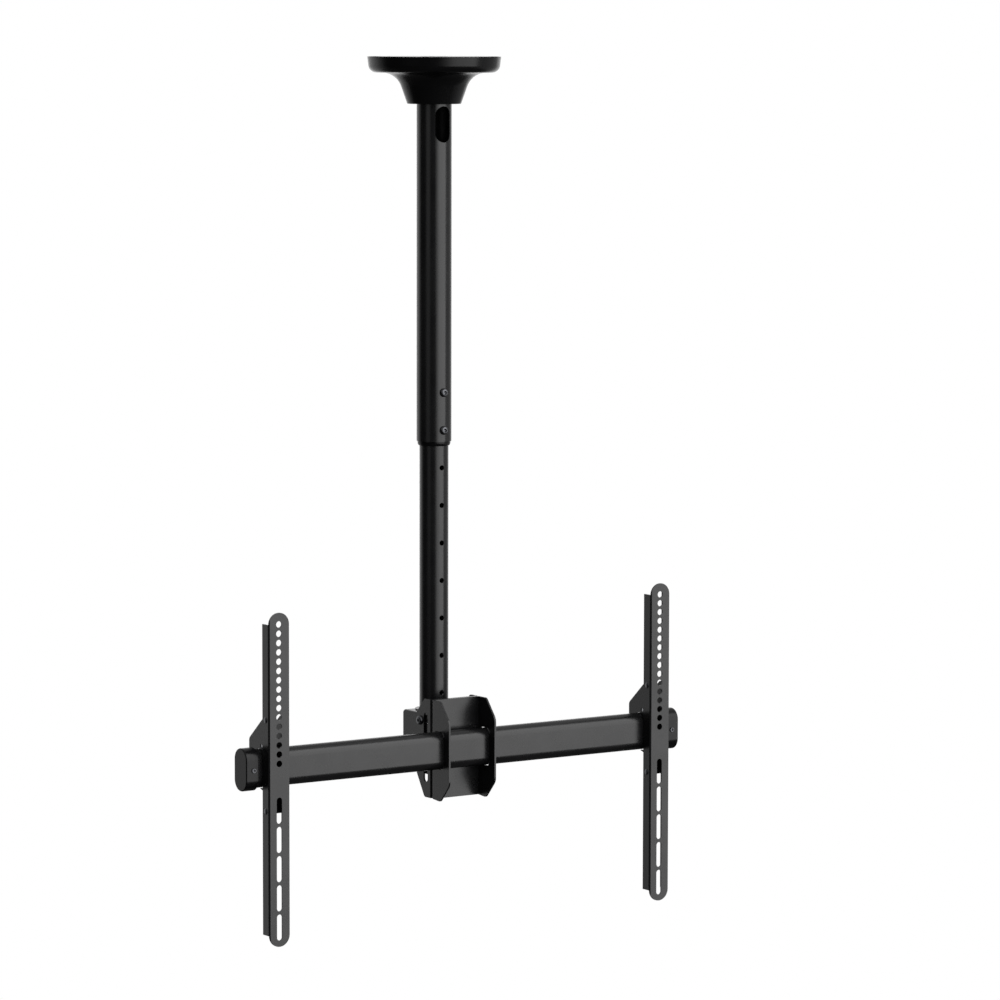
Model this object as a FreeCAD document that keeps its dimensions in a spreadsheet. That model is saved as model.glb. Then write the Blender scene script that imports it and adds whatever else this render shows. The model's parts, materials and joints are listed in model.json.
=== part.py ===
import FreeCAD, Part
import math
import os
import Sketcher
from FreeCAD import Placement, Rotation, Vector

# Telescopic ceiling mount for a flat screen, hung from the ceiling plane at z = 0.
# X runs to the right along the rail, seen from the front, Y runs backwards and Z up.
# The pole's axis is the Z axis. Depths below the ceiling and distances in front of
# the axis are kept as positive numbers and turned round where they are used.

os.makedirs("parts", exist_ok=True)
doc = FreeCAD.newDocument("ceiling_mount")

DIMENSIONS = [
    # fits
    ("slide_clear", 0.3, "gap between pieces that slide or swing past each other"),
    ("weld_clear", 0.1, "gap round a piece that is welded or pressed in"),
    ("pin_clear", 0.06, "radial gap round a pin that turns in its hole"),
    ("bolt_clear", 0.3, "radial gap round a bolt that only clamps"),
    # ceiling plate and its socket
    ("plate_radius", 76, "radius of the steel ceiling plate"),
    ("plate_sheet", 4, "thickness of the ceiling plate"),
    ("fixing_radius", 4.5, "radius of a hole for a ceiling screw"),
    ("fixing_circle", 60, "radius of the circle of ceiling screws"),
    ("fixing_angle", 45, "angle of the ceiling screws from the rail's direction"),
    ("socket_wall", 2.5, "wall of the socket tube under the plate"),
    ("socket_long", 54, "length of the socket tube"),
    ("cross_bolt_drop", 20, "depth of the upper cross bolt below the ceiling"),
    ("cross_bolt_pitch", 24, "distance between the two cross bolts"),
    # upper tube and its collar
    ("upper_radius", 23.15, "outer radius of the upper tube"),
    ("tube_wall", 2, "wall of both pole tubes"),
    ("upper_end", 507, "depth of the upper tube's lower end"),
    ("cable_slot_top", 65, "depth of the top of the cable slot"),
    ("cable_slot_long", 47.5, "length of the cable slot"),
    ("cable_slot_wide", 22.7, "width of the cable slot"),
    ("collar_lip", 4, "height of the collar below the tube"),
    ("collar_sleeve", 8, "height of the collar inside the tube"),
    ("collar_round", 1.5, "rounding of the collar's lower edge"),
    # lower tube
    ("lower_radius", 19.25, "outer radius of the lower tube"),
    ("lock_screw_rise", 15.2, "lower lock screw's height above the upper tube's end"),
    ("hole_margin", 26.8, "distance from the lower tube's top to its first hole"),
    ("height_hole_pitch", 50, "distance between height holes"),
    ("height_hole_radius", 3.5, "radius of a height hole"),
    ("exit_slot_rise", 49.5, "height of the rear cable exit's middle above the tube's end"),
    ("exit_slot_long", 46, "length of the rear cable exit"),
    ("exit_slot_wide", 18, "width of the rear cable exit"),
    ("plug_tall", 12, "height of the welded plug in the lower end"),
    # canopy
    ("canopy_radius", 88.2, "radius of the canopy at the ceiling"),
    ("canopy_foot_radius", 85.6, "radius of the canopy above its lower corner"),
    ("canopy_deep", 21, "depth of the canopy's wide part"),
    ("canopy_corner", 10.5, "rounding of the canopy's lower corner"),
    ("canopy_cone_radius", 50, "radius where the cone would meet the wide part"),
    ("canopy_flare", 27, "hollow rounding between wide part and cone"),
    ("canopy_end", 62, "depth of the canopy's lower end"),
    ("canopy_neck", 35.5, "radius of the canopy's lower end"),
    ("canopy_wall", 2.4, "wall of the canopy"),
    # yoke under the pole
    ("yoke_top", 866, "depth of the yoke's top face"),
    ("yoke_bottom", 946.5, "depth of the yoke's lower edge"),
    ("yoke_front", 43, "reach of the yoke's sides in front of the axis"),
    ("yoke_back", 23.6, "reach of the yoke's sides behind the axis"),
    ("yoke_sheet", 3, "sheet of the yoke"),
    ("yoke_corner", 5, "rounding of the yoke's corners"),
    ("yoke_bend", 2.4, "outer bend radius of the yoke"),
    ("swivel_washer_radius", 25, "radius of the plastic swivel washer"),
    ("swivel_washer_thick", 1.5, "thickness of the plastic swivel washer"),
    ("swivel_bolt_radius", 5, "radius of the swivel bolt"),
    ("swivel_head_radius", 8.5, "radius of the swivel bolt's head"),
    ("swivel_head_tall", 5.5, "height of the swivel bolt's head"),
    ("swivel_socket", 3, "half width across the flats of its socket"),
    ("steel_washer_radius", 12, "radius of the washer over the bolt's head"),
    ("steel_washer_thick", 2, "thickness of that washer"),
    # brackets behind and round the rail
    ("channel_wide", 74.5, "outer width of both channel brackets"),
    ("channel_sheet", 2.5, "sheet of both channel brackets"),
    ("channel_high", 65, "height of both channel brackets above the rail's centre line"),
    ("channel_low", 66.3, "their reach below that line"),
    ("channel_bend", 2.6, "outer bend radius of both channel brackets"),
    ("head_drop", 910, "depth of the rail's centre line"),
    ("channel_front", 94, "front edge of the rail channel's sides"),
    ("channel_shallow", 72.4, "front edge of its sides at top and bottom"),
    ("channel_slope_top", 26, "height of the upper sloping edge of its sides"),
    ("channel_slope_bottom", 22, "height of the lower sloping edge of its sides"),
    ("channel_lean", 1.8, "fall of the sides' lower edge towards the front"),
    ("channel_edge_round", 14, "rounding of the sides' front corners"),
    ("channel_tip_round", 6, "rounding of the sides' upper and lower corners"),
    ("window_corner", 8, "corner rounding of the rail's windows"),
    ("tilt_back", 15.6, "rear edge of the tilt bracket's sides"),
    ("tilt_shallow", 34.5, "rear edge of its sides at top and bottom"),
    ("tilt_slope_top", 19.5, "height of the upper sloping edge"),
    ("tilt_slope_bottom", 30.5, "height of the lower sloping edge"),
    ("tilt_slot_long", 92, "length of the long opening in its sides"),
    ("tilt_slot_wide", 9.8, "width of the long opening in its sides"),
    ("tilt_slot_forward", 37.5, "long opening's distance in front of the axis"),
    ("level_gap", 1.9, "gap between the two channel brackets"),
    # tilt bolts
    ("pivot_forward", 24, "tilt pivot's distance in front of the axis"),
    ("pivot_below", 25, "tilt pivot's depth below the rail's centre line"),
    ("clamp_above", 60, "clamp bolt's height above the pivot"),
    ("tilt_down", 12, "largest forward tilt in degrees"),
    ("tilt_up", 2, "largest backward tilt in degrees"),
    # metric fasteners
    ("bolt_radius", 3, "shank radius of the common bolt"),
    ("bolt_head_radius", 5.25, "head radius of the common bolt"),
    ("bolt_head_tall", 3.3, "head height of the common bolt"),
    ("bolt_socket", 2, "half width across the flats of its socket"),
    ("nut_radius", 5.8, "corner radius of the common nut"),
    ("nut_tall", 5, "height of the common nut"),
    ("bolt_proud", 1, "how far a bolt stands out of its nut"),
    ("lock_head_radius", 4.4, "head radius of a lock screw"),
    ("lock_head_tall", 2.6, "head height of a lock screw"),
    # rail
    ("rail_front", 82, "front face of the rail"),
    ("rail_deep", 25, "depth of the rail"),
    ("rail_tall", 50, "height of the rail"),
    ("rail_wall", 2, "wall of the rail"),
    ("rail_round", 12, "corner rounding of the rail"),
    ("rail_half", 338, "half the length of the rail tube"),
    ("cap_proud", 2.9, "how far a cap stands out round the rail"),
    ("cap_skirt", 14.8, "length of a cap over the rail"),
    ("cap_end", 3, "thickness of a cap's closed end"),
    ("cap_edge", 1.6, "rounding of a cap's outer edge"),
    ("cap_screw_inset", 8, "cap screw's distance from the rail's end"),
    ("small_screw_radius", 2, "shank radius of a small screw"),
    ("small_head_radius", 3.2, "head radius of a small screw"),
    ("small_head_tall", 1.5, "head height of a small screw"),
    ("small_socket", 1.2, "half width across the flats of its socket"),
    # level studs and rail screws
    ("stud_spread", 22, "side studs' distance from the middle stud"),
    ("stud_head_radius", 5, "radius of a stud's flat head"),
    ("stud_head_thick", 1.5, "thickness of a stud's flat head"),
    ("level_swing", 1.4, "travel of a side stud up or down in its slot"),
    ("spacer_radius", 7, "radius of a level spacer"),
    ("rail_screw_across", 16, "rail screws' distance from the middle"),
    ("rail_screw_below", 11.2, "rail screws' depth below the rail's centre line"),
    # screen arms
    ("arm_inset", 38, "distance from an arm's middle to the rail's end"),
    ("arm_wide", 31, "outer width of an arm"),
    ("arm_face_wide", 30, "width of an arm's face"),
    ("arm_sheet", 2, "sheet of an arm"),
    ("arm_deep", 16, "depth of an arm"),
    ("arm_bend", 2.4, "outer bend radius of an arm"),
    ("arm_rise", 188.2, "first screen hole's height above the rail's centre line"),
    ("arm_run", 403, "distance between the centres of an arm's round ends"),
    ("arm_hole_pitch", 12, "distance between round screen holes"),
    ("arm_hole_radius", 4.2, "radius of a round screen hole"),
    ("arm_slot_long", 34, "length of a screen slot"),
    ("arm_slot_wide", 8, "width of a screen slot"),
    ("arm_slot_pitch", 38, "distance between screen slots"),
    ("arm_slot_drop", 35.6, "top of the first slot below the rail's centre line"),
    # hook bracket in an arm
    ("hook_sheet", 2.5, "sheet of a hook bracket"),
    ("hook_top", 68, "hook bracket's height above the rail's centre line"),
    ("hook_bottom", 58, "hook bracket's reach below the rail's centre line"),
    ("hook_shoulder", 36.5, "height of the hook's rear corner above that line"),
    ("hook_back", 45.4, "rear edge of the hook"),
    ("hook_tip", 5, "height of the hook's rear tip above that line"),
    ("hook_round", 7, "rounding of the hook's rear corner"),
    ("hook_web_top", 2.5, "top of the hook's web above that line"),
    ("hook_web_bottom", 34, "bottom of the hook's web below that line"),
    ("lip_gap", 0.3, "gap between the rail's underside and the lower lip"),
    ("lip_back", 73, "rear end of the lower lip and its tab"),
    ("lip_edge", 0.8, "thickness of the lower lip's rear edge"),
    ("lip_tall", 3.5, "thickness of the lower lip at the arm"),
    ("tab_thick", 2, "thickness of the tab between the lips"),
    ("tab_wide", 12, "width of the tab between the lips"),
    ("apron_front", 86, "front face of the apron under the rail"),
    ("hanger_radius", 3.5, "radius of the pin between the hook's plates"),
    ("pin_shoulder", 1, "step from that pin to its stubs"),
    ("pin_sunk", 0.8, "depth of the stubs' ends in the plates"),
    ("pin_rise", 4.5, "that pin's height above the rail's top"),
    ("pin_forward", 76, "that pin's distance in front of the axis"),
    ("rivet_radius", 2.5, "shank radius of a rivet"),
    ("rivet_head_radius", 4, "head radius of a rivet"),
    ("rivet_head_tall", 1.2, "head height of a rivet"),
    ("rivet_tail_radius", 3.5, "radius of a rivet's upset tail"),
    ("rivet_tail_tall", 0.8, "height of a rivet's upset tail"),
    ("rivet_top", 64.8, "upper rivet's height above the rail's centre line"),
    ("rivet_bottom", 53.3, "lower rivet's depth below the rail's centre line"),
    ("safety_radius", 2.5, "shank radius of the safety screw"),
    ("safety_forward", 78.5, "safety screw's distance in front of the axis"),
    ("safety_head_radius", 4.5, "radius of the safety screw's knurled head"),
    ("safety_head_tall", 6, "height of the safety screw's knurled head"),
    ("safety_long", 18, "length of the safety screw under its head"),
    ("screw_chamfer", 0.5, "chamfer of the safety screw's tip"),
]

HEIGHT_HOLES = 9
LOCK_SCREWS = 2
ARM_HOLES = 16
ARM_SLOTS = 5

# shares of a form, not sizes of their own
HEX_FLAT = 0.866
HEAD_PROFILE = ((0.45, 1), (0.82, 0.72), (1, 0.2))
SOCKET_DEPTH = 0.6
CONE_SLANT = 1.06
ARC_BEVEL = 0.586

sheet = doc.addObject("Spreadsheet::Sheet", "Dims")
for line, (alias, number, meaning) in enumerate(DIMENSIONS, start=1):
    sheet.set("A%d" % line, meaning)
    sheet.set("B%d" % line, str(number))
    sheet.setAlias("B%d" % line, alias)
doc.recompute()


class Size:
    """A cell of the sheet, or a value worked out from cells, with its expression."""

    def __init__(self, value, text):
        self.value = float(value)
        self.text = text

    def __add__(self, other):
        other = as_size(other)
        return Size(self.value + other.value, "(%s + %s)" % (self.text, other.text))

    def __sub__(self, other):
        other = as_size(other)
        return Size(self.value - other.value, "(%s - %s)" % (self.text, other.text))

    def __mul__(self, other):
        other = as_size(other)
        return Size(self.value * other.value, "(%s * %s)" % (self.text, other.text))

    def __truediv__(self, other):
        other = as_size(other)
        return Size(self.value / other.value, "(%s / %s)" % (self.text, other.text))

    def __neg__(self):
        return Size(-self.value, "(0 - %s)" % self.text)

    def __radd__(self, other):
        return as_size(other) + self

    def __rsub__(self, other):
        return as_size(other) - self

    def __rmul__(self, other):
        return as_size(other) * self


def as_size(number):
    """Give a bare number the same form as a cell of the sheet."""
    if isinstance(number, Size):
        return number
    return Size(number, "(0 - %r)" % -number if number < 0 else "%r" % number)


def sine(degrees):
    return Size(math.sin(math.radians(degrees.value)), "sin(%s)" % degrees.text)


def cosine(degrees):
    return Size(math.cos(math.radians(degrees.value)), "cos(%s)" % degrees.text)


class Dims:
    """The sheet's cells by name."""

    def __getattr__(self, alias):
        return Size(sheet.get(alias), "Dims.%s" % alias)


D = Dims()


def bind(thing, name, size):
    """Set a property of an object to a size and keep the two tied."""
    thing.setExpression(name, as_size(size).text)


# Sketches

def sketch(body, plane, offset=0):
    """A sketch on one of the body's own origin planes, moved along its normal."""
    face = [f for f in body.Origin.OriginFeatures if f.Role == plane + "_Plane"][0]
    drawing = body.newObject("Sketcher::SketchObject", "outline")
    drawing.AttachmentSupport = [(face, "")]
    drawing.MapMode = "FlatFace"
    bind(drawing, "AttachmentOffset.Base.z", offset)
    return drawing


def value(number):
    return as_size(number).value


def hold(drawing, geometry, point, place):
    """Fix a point of the sketch at a place given by two sizes, or by one of them."""
    for kind, axis, size in zip(("DistanceX", "DistanceY"), (-2, -1), place):
        if size is None:
            continue
        if value(size) == 0:
            rule = Sketcher.Constraint("PointOnObject", geometry, point, axis)
            drawing.addConstraint(rule)
            continue
        rule = Sketcher.Constraint(kind, -1, 1, geometry, point, value(size))
        number = drawing.addConstraint(rule)
        bind(drawing, "Constraints[%d]" % number, size)


def vector(place):
    return Vector(value(place[0]), value(place[1]), 0)


def polygon(drawing, corners):
    """A closed outline of straight lines."""
    first = drawing.GeometryCount
    count = len(corners)
    for i, corner in enumerate(corners):
        following = corners[(i + 1) % count]
        drawing.addGeometry(Part.LineSegment(vector(corner), vector(following)), False)
    for i, corner in enumerate(corners):
        ends = (first + i, 2, first + (i + 1) % count, 1)
        drawing.addConstraint(Sketcher.Constraint("Coincident", *ends))
    for i, corner in enumerate(corners):
        hold(drawing, first + i, 1, corner)


def box(drawing, left, right, low, high):
    polygon(drawing, [(left, low), (right, low), (right, high), (left, high)])


def round_box(drawing, left, right, low, high, radius):
    """A box with four equal round corners."""
    x1, x2, y1, y2 = value(left), value(right), value(low), value(high)
    r = value(radius)
    normal = Vector(0, 0, 1)
    corners = [
        (left + radius, low + radius, math.pi), (right - radius, low + radius, 1.5 * math.pi),
        (right - radius, high - radius, 0), (left + radius, high - radius, 0.5 * math.pi)]
    sides = [
        (Vector(x1 + r, y1, 0), Vector(x2 - r, y1, 0)), (Vector(x2, y1 + r, 0), Vector(x2, y2 - r, 0)),
        (Vector(x2 - r, y2, 0), Vector(x1 + r, y2, 0)), (Vector(x1, y2 - r, 0), Vector(x1, y1 + r, 0))]
    first = drawing.GeometryCount
    for (x, y, start), (begin, end) in zip(corners, sides):
        arc = Part.Circle(vector((x, y)), normal, r)
        drawing.addGeometry(Part.ArcOfCircle(arc, start, start + math.pi / 2), False)
        drawing.addGeometry(Part.LineSegment(begin, end), False)
    for i in range(8):
        ends = (first + i, 2, first + (i + 1) % 8, 1)
        drawing.addConstraint(Sketcher.Constraint("Tangent", *ends))
    for i in (2, 4, 6):
        drawing.addConstraint(Sketcher.Constraint("Equal", first, first + i))
    drawing.addConstraint(Sketcher.Constraint("Horizontal", first + 1))
    drawing.addConstraint(Sketcher.Constraint("Vertical", first + 3))
    hold(drawing, first, 3, corners[0][:2])
    hold(drawing, first + 4, 3, corners[2][:2])
    rule = drawing.addConstraint(Sketcher.Constraint("Radius", first, r))
    bind(drawing, "Constraints[%d]" % rule, radius)


def circle(drawing, centre, radius):
    number = drawing.addGeometry(Part.Circle(vector(centre), Vector(0, 0, 1), value(radius)), False)
    hold(drawing, number, 3, centre)
    rule = drawing.addConstraint(Sketcher.Constraint("Radius", number, value(radius)))
    bind(drawing, "Constraints[%d]" % rule, radius)


def upright_slot(drawing, centre, length, width):
    """A slot with round ends that stands along the sketch's second axis."""
    radius = width / 2
    reach = length / 2 - radius
    upper = (centre[0], centre[1] + reach)
    lower = (centre[0], centre[1] - reach)
    r = value(radius)
    x = value(centre[0])
    top = value(upper[1])
    bottom = value(lower[1])
    normal = Vector(0, 0, 1)
    first = drawing.GeometryCount
    drawing.addGeometry(Part.ArcOfCircle(Part.Circle(vector(upper), normal, r), 0, math.pi), False)
    drawing.addGeometry(Part.LineSegment(Vector(x - r, top, 0), Vector(x - r, bottom, 0)), False)
    drawing.addGeometry(
        Part.ArcOfCircle(Part.Circle(vector(lower), normal, r), math.pi, 2 * math.pi), False)
    drawing.addGeometry(Part.LineSegment(Vector(x + r, bottom, 0), Vector(x + r, top, 0)), False)
    for i in range(4):
        ends = (first + i, 2, first + (i + 1) % 4, 1)
        drawing.addConstraint(Sketcher.Constraint("Tangent", *ends))
    hold(drawing, first, 3, upper)
    hold(drawing, first + 2, 3, lower)
    rule = drawing.addConstraint(Sketcher.Constraint("Radius", first, r))
    bind(drawing, "Constraints[%d]" % rule, radius)
    drawing.addConstraint(Sketcher.Constraint("Equal", first, first + 2))


# Features

def new_body(label):
    body = doc.addObject("PartDesign::Body", label)
    body.Label = label
    return body


def pad(body, drawing, length, both=False, back=False):
    feature = body.newObject("PartDesign::Pad", "pad")
    feature.Profile = drawing
    bind(feature, "Length", length)
    if both:
        feature.SideType = "Symmetric"
    feature.Reversed = back
    doc.recompute()
    return feature


def cut(body, drawing, length, both=False, back=False):
    before = body.Shape.Volume
    feature = body.newObject("PartDesign::Pocket", "pocket")
    feature.Profile = drawing
    bind(feature, "Length", length)
    if both:
        feature.SideType = "Symmetric"
    feature.Reversed = back
    doc.recompute()
    if body.Shape.Volume > before - 0.01:
        raise ValueError("a cut in %s takes nothing away: %s" % (
            body.Label, [(f.Name, f.State) for f in body.Group if "Invalid" in f.State]))
    return feature


def revolve(body, drawing):
    feature = body.newObject("PartDesign::Revolution", "turned")
    feature.Profile = drawing
    axis = [f for f in body.Origin.OriginFeatures if f.Role == "Z_Axis"][0]
    feature.ReferenceAxis = (axis, [""])
    feature.Angle = 360
    doc.recompute()
    return feature


def groove(body, drawing):
    """A turned cut round the body's Z axis."""
    feature = body.newObject("PartDesign::Groove", "hollow")
    feature.Profile = drawing
    axis = [f for f in body.Origin.OriginFeatures if f.Role == "Z_Axis"][0]
    feature.ReferenceAxis = (axis, [""])
    feature.Angle = 360
    doc.recompute()
    return feature


def find_edges(shape, wanted):
    """Names of the edges whose middle, direction and length are wanted."""
    names = []
    for i, edge in enumerate(shape.Edges, start=1):
        middle = edge.valueAt((edge.FirstParameter + edge.LastParameter) / 2)
        straight = edge.Curve.TypeId == "Part::GeomLine"
        way = edge.tangentAt(edge.FirstParameter) if straight else None
        if wanted(middle, way, edge):
            names.append("Edge%d" % i)
    return names


def along(way, axis):
    return way is not None and abs(way.dot(axis)) > 0.999


def fillet(body, radius, wanted):
    base = body.Tip
    names = find_edges(base.Shape, wanted)
    if not names:
        raise ValueError("no edge to round in %s" % body.Label)
    feature = body.newObject("PartDesign::Fillet", "round")
    feature.Base = (base, names)
    bind(feature, "Radius", radius)
    doc.recompute()
    if "Invalid" in feature.State:
        raise ValueError("a rounding in %s has failed on %s" % (body.Label, names))
    return feature


def repeat(body, feature, axis, pitch, count):
    """Copies of a feature at a pitch along one of the body's origin axes, downwards."""
    pattern = body.newObject("PartDesign::LinearPattern", "row")
    pattern.Originals = [feature]
    line = [f for f in body.Origin.OriginFeatures if f.Role == axis + "_Axis"][0]
    pattern.Direction = (line, [""])
    pattern.Reversed = True
    pattern.Mode = "Spacing"
    bind(pattern, "Offset", pitch)
    pattern.Occurrences = count
    body.Tip = pattern
    doc.recompute()
    return pattern


FACING = {
    "up": Rotation(),
    "down": Rotation(Vector(1, 0, 0), 180),
    "front": Rotation(Vector(1, 0, 0), 90),
    "back": Rotation(Vector(1, 0, 0), -90),
    "left": Rotation(Vector(0, 1, 0), -90),
    "right": Rotation(Vector(0, 1, 0), 90),
}


def place(thing, facing, where):
    """Turn a piece's own Z axis to face one way and put its origin at a point."""
    thing.Placement = Placement(Vector(*[value(w) for w in where]), FACING[facing])
    for axis, size in zip("xyz", where):
        bind(thing, "Placement.Base.%s" % axis, size)
    return thing


def turned(label, corners):
    """A piece turned round its own Z axis from corners given as radius and height."""
    body = new_body(label)
    drawing = sketch(body, "XZ")
    polygon(drawing, corners)
    revolve(body, drawing)
    return body


def ring(label, inner, outer, low, high):
    return turned(label, [(inner, low), (outer, low), (outer, high), (inner, high)])


def screw(label, shank, length, head, tall, socket):
    """A button head screw: its head stands on z = 0 and its shank hangs below."""
    dome = [(head * out, tall * up) for out, up in HEAD_PROFILE]
    body = turned(label, [(0, tall)] + dome + [
        (head, 0), (shank, 0), (shank, -length), (0, -length)])
    corner = socket / HEX_FLAT
    half = corner / 2
    drawing = sketch(body, "XY", tall)
    polygon(drawing, [
        (corner, 0), (half, socket), (-half, socket),
        (-corner, 0), (-half, -socket), (half, -socket)])
    cut(body, drawing, tall * SOCKET_DEPTH)
    return body


def nut(label, bore):
    """A hexagon nut that stands on z = 0."""
    prism = doc.addObject("Part::Prism", label + "_blank")
    prism.Polygon = 6
    bind(prism, "Circumradius", D.nut_radius)
    bind(prism, "Height", D.nut_tall)
    hole = doc.addObject("Part::Cylinder", label + "_bore")
    bind(hole, "Radius", bore)
    bind(hole, "Height", D.nut_tall)
    piece = doc.addObject("Part::Cut", label)
    piece.Base = prism
    piece.Tool = hole
    piece.Label = label
    return piece


def group(label, pieces):
    """Like fasteners that share one node."""
    cluster = doc.addObject("Part::Compound", label)
    cluster.Links = pieces
    cluster.Label = label
    return cluster


nodes = []

# Depth of the first height hole, which the upper lock screw meets, and of the tube's top
hole_top = D.upper_end - D.lock_screw_rise - D.height_hole_pitch * (LOCK_SCREWS - 1)
lower_top = hole_top - D.hole_margin

# Ceiling plate with its welded socket tube

upper_bore = D.upper_radius - D.tube_wall
socket_radius = upper_bore - D.weld_clear
socket_end = -(D.plate_sheet + D.socket_long)
cross_hole = D.bolt_radius + D.bolt_clear

plate = turned("ceiling_plate", [
    (socket_radius - D.socket_wall, 0),
    (socket_radius - D.socket_wall, socket_end),
    (socket_radius, socket_end),
    (socket_radius, -D.plate_sheet),
    (D.plate_radius, -D.plate_sheet),
    (D.plate_radius, 0)])
fixing_across = D.fixing_circle * cosine(D.fixing_angle)
fixing_along = D.fixing_circle * sine(D.fixing_angle)
drawing = sketch(plate, "XY", -D.plate_sheet)
for side, depth in ((1, 1), (-1, 1), (-1, -1), (1, -1)):
    circle(drawing, (fixing_across * side, fixing_along * depth), D.fixing_radius)
cut(plate, drawing, D.plate_sheet, back=True)
drawing = sketch(plate, "YZ")
for i in range(2):
    circle(drawing, (0, -(D.cross_bolt_drop + D.cross_bolt_pitch * i)), cross_hole)
cut(plate, drawing, D.upper_radius * 2, both=True)
nodes.append(plate)

# Upper tube

upper = ring("upper_tube", upper_bore, D.upper_radius, -D.upper_end, -D.plate_sheet)
drawing = sketch(upper, "XZ", D.lower_radius / 2)
upright_slot(drawing, (0, -(D.cable_slot_top + D.cable_slot_long / 2)), D.cable_slot_long,
             D.cable_slot_wide)
cut(upper, drawing, D.upper_radius, back=True)
drawing = sketch(upper, "XZ", D.lower_radius / 2)
for i in range(LOCK_SCREWS):
    circle(drawing, (0, -(hole_top + D.height_hole_pitch * i)),
           D.bolt_radius + D.weld_clear)
cut(upper, drawing, D.upper_radius, back=True)
drawing = sketch(upper, "YZ")
for i in range(2):
    circle(drawing, (0, -(D.cross_bolt_drop + D.cross_bolt_pitch * i)), cross_hole)
cut(upper, drawing, D.upper_radius * 3, both=True)
nodes.append(upper)

# Cross bolts that hold the tube on its socket

cross_bolts = []
cross_nuts = []
for i in range(2):
    drop = -(D.cross_bolt_drop + D.cross_bolt_pitch * i)
    bolt = screw("cross_bolt_%d" % (i + 1), D.bolt_radius, D.upper_radius * 2 + D.nut_tall + D.bolt_proud,
                 D.bolt_head_radius, D.bolt_head_tall, D.bolt_socket)
    cross_bolts.append(place(bolt, "left", (-D.upper_radius, 0, drop)))
    cross_nuts.append(place(nut("cross_nut_%d" % (i + 1), D.bolt_radius),
                            "right", (D.upper_radius, 0, drop)))
nodes.append(group("cross_bolts", cross_bolts))
nodes.append(group("cross_nuts", cross_nuts))

# Plastic collar that guides the lower tube in the upper one

collar_bore = D.lower_radius + D.slide_clear
collar_low = -(D.upper_end + D.collar_lip)
collar = turned("tube_collar", [
    (collar_bore, collar_low),
    (D.upper_radius, collar_low),
    (D.upper_radius, -D.upper_end),
    (upper_bore - D.weld_clear, -D.upper_end),
    (upper_bore - D.weld_clear, -D.upper_end + D.collar_sleeve),
    (collar_bore, -D.upper_end + D.collar_sleeve)])
fillet(collar, D.collar_round, lambda middle, way, edge: (
    way is None
    and abs(edge.Vertexes[0].Point.z - collar_low.value) < 0.01
    and abs(edge.Curve.Radius - D.upper_radius.value) < 0.01))
nodes.append(collar)

# Screws that lock the height, short enough to leave the lower tube free

lock_screws = []
for i in range(LOCK_SCREWS):
    shank = D.upper_radius - D.lower_radius - D.slide_clear
    piece = screw("lock_screw_%d" % (i + 1), D.bolt_radius, shank,
                  D.lock_head_radius, D.lock_head_tall, D.bolt_socket)
    drop = -(hole_top + D.height_hole_pitch * i)
    lock_screws.append(place(piece, "front", (0, -D.upper_radius, drop)))
nodes.append(group("lock_screws", lock_screws))

# Canopy: a moulded bell that slides on the upper tube

canopy = turned("canopy_cover", [
    (0, 0), (D.canopy_radius, 0), (D.canopy_foot_radius, -D.canopy_deep),
    (D.canopy_cone_radius, -D.canopy_deep), (D.canopy_neck, -D.canopy_end), (0, -D.canopy_end)])


def ring_edge(depth, radius):
    """Pick the round edge at a height and radius."""
    def wanted(middle, way, edge):
        if way is not None or not hasattr(edge.Curve, "Radius"):
            return False
        same_level = abs(edge.Vertexes[0].Point.z - depth.value) < 0.01
        return same_level and abs(edge.Curve.Radius - radius.value) < 0.01
    return wanted


fillet(canopy, D.canopy_corner, ring_edge(-D.canopy_deep, D.canopy_foot_radius))
fillet(canopy, D.canopy_flare, ring_edge(-D.canopy_deep, D.canopy_cone_radius))
fillet(canopy, D.canopy_wall / 2, ring_edge(-D.canopy_end, D.canopy_neck))
cone_slope = (D.canopy_cone_radius - D.canopy_neck) / (D.canopy_end - D.canopy_deep)
cone_offset = D.canopy_wall * CONE_SLANT - cone_slope * D.canopy_wall
inner_deep = -(D.canopy_deep - D.canopy_wall)
inner_end = -(D.canopy_end - D.canopy_wall)
inner_foot = D.canopy_foot_radius - D.canopy_wall
inner_cone = D.canopy_cone_radius - cone_offset
inner_bevel = (D.canopy_corner - D.canopy_wall) * ARC_BEVEL
drawing = sketch(canopy, "XZ")
polygon(drawing, [
    (0, 0), (D.canopy_radius - D.canopy_wall, 0), (inner_foot, inner_deep + inner_bevel),
    (inner_foot - inner_bevel, inner_deep), (inner_cone, inner_deep),
    (D.canopy_neck - cone_offset, inner_end), (0, inner_end)])
groove(canopy, drawing)
fillet(canopy, D.canopy_flare + D.canopy_wall, ring_edge(inner_deep, inner_cone))
drawing = sketch(canopy, "XY", -D.canopy_end)
circle(drawing, (0, 0), D.upper_radius + D.slide_clear)
cut(canopy, drawing, D.canopy_end / 2, back=True)
nodes.append(canopy)

# Lower tube with its row of height holes, and the plug welded into its end

lower_end = -(D.yoke_top - D.swivel_washer_thick)
lower_bore = D.lower_radius - D.tube_wall
lower = ring("lower_tube", lower_bore, D.lower_radius, lower_end, -lower_top)
drawing = sketch(lower, "XZ", D.lower_radius / 2)
circle(drawing, (0, -hole_top), D.height_hole_radius)
hole = cut(lower, drawing, D.lower_radius, back=True)
repeat(lower, hole, "Z", D.height_hole_pitch, HEIGHT_HOLES)
drawing = sketch(lower, "XZ", -D.lower_radius / 2)
upright_slot(drawing, (0, lower_end + D.exit_slot_rise), D.exit_slot_long, D.exit_slot_wide)
cut(lower, drawing, D.lower_radius)
nodes.append(lower)

plug = ring("tube_plug", D.swivel_bolt_radius, lower_bore - D.weld_clear,
            lower_end, lower_end + D.plug_tall)
nodes.append(plug)

# Swivel: a plastic washer over the yoke, a steel one under it, and the bolt

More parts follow.
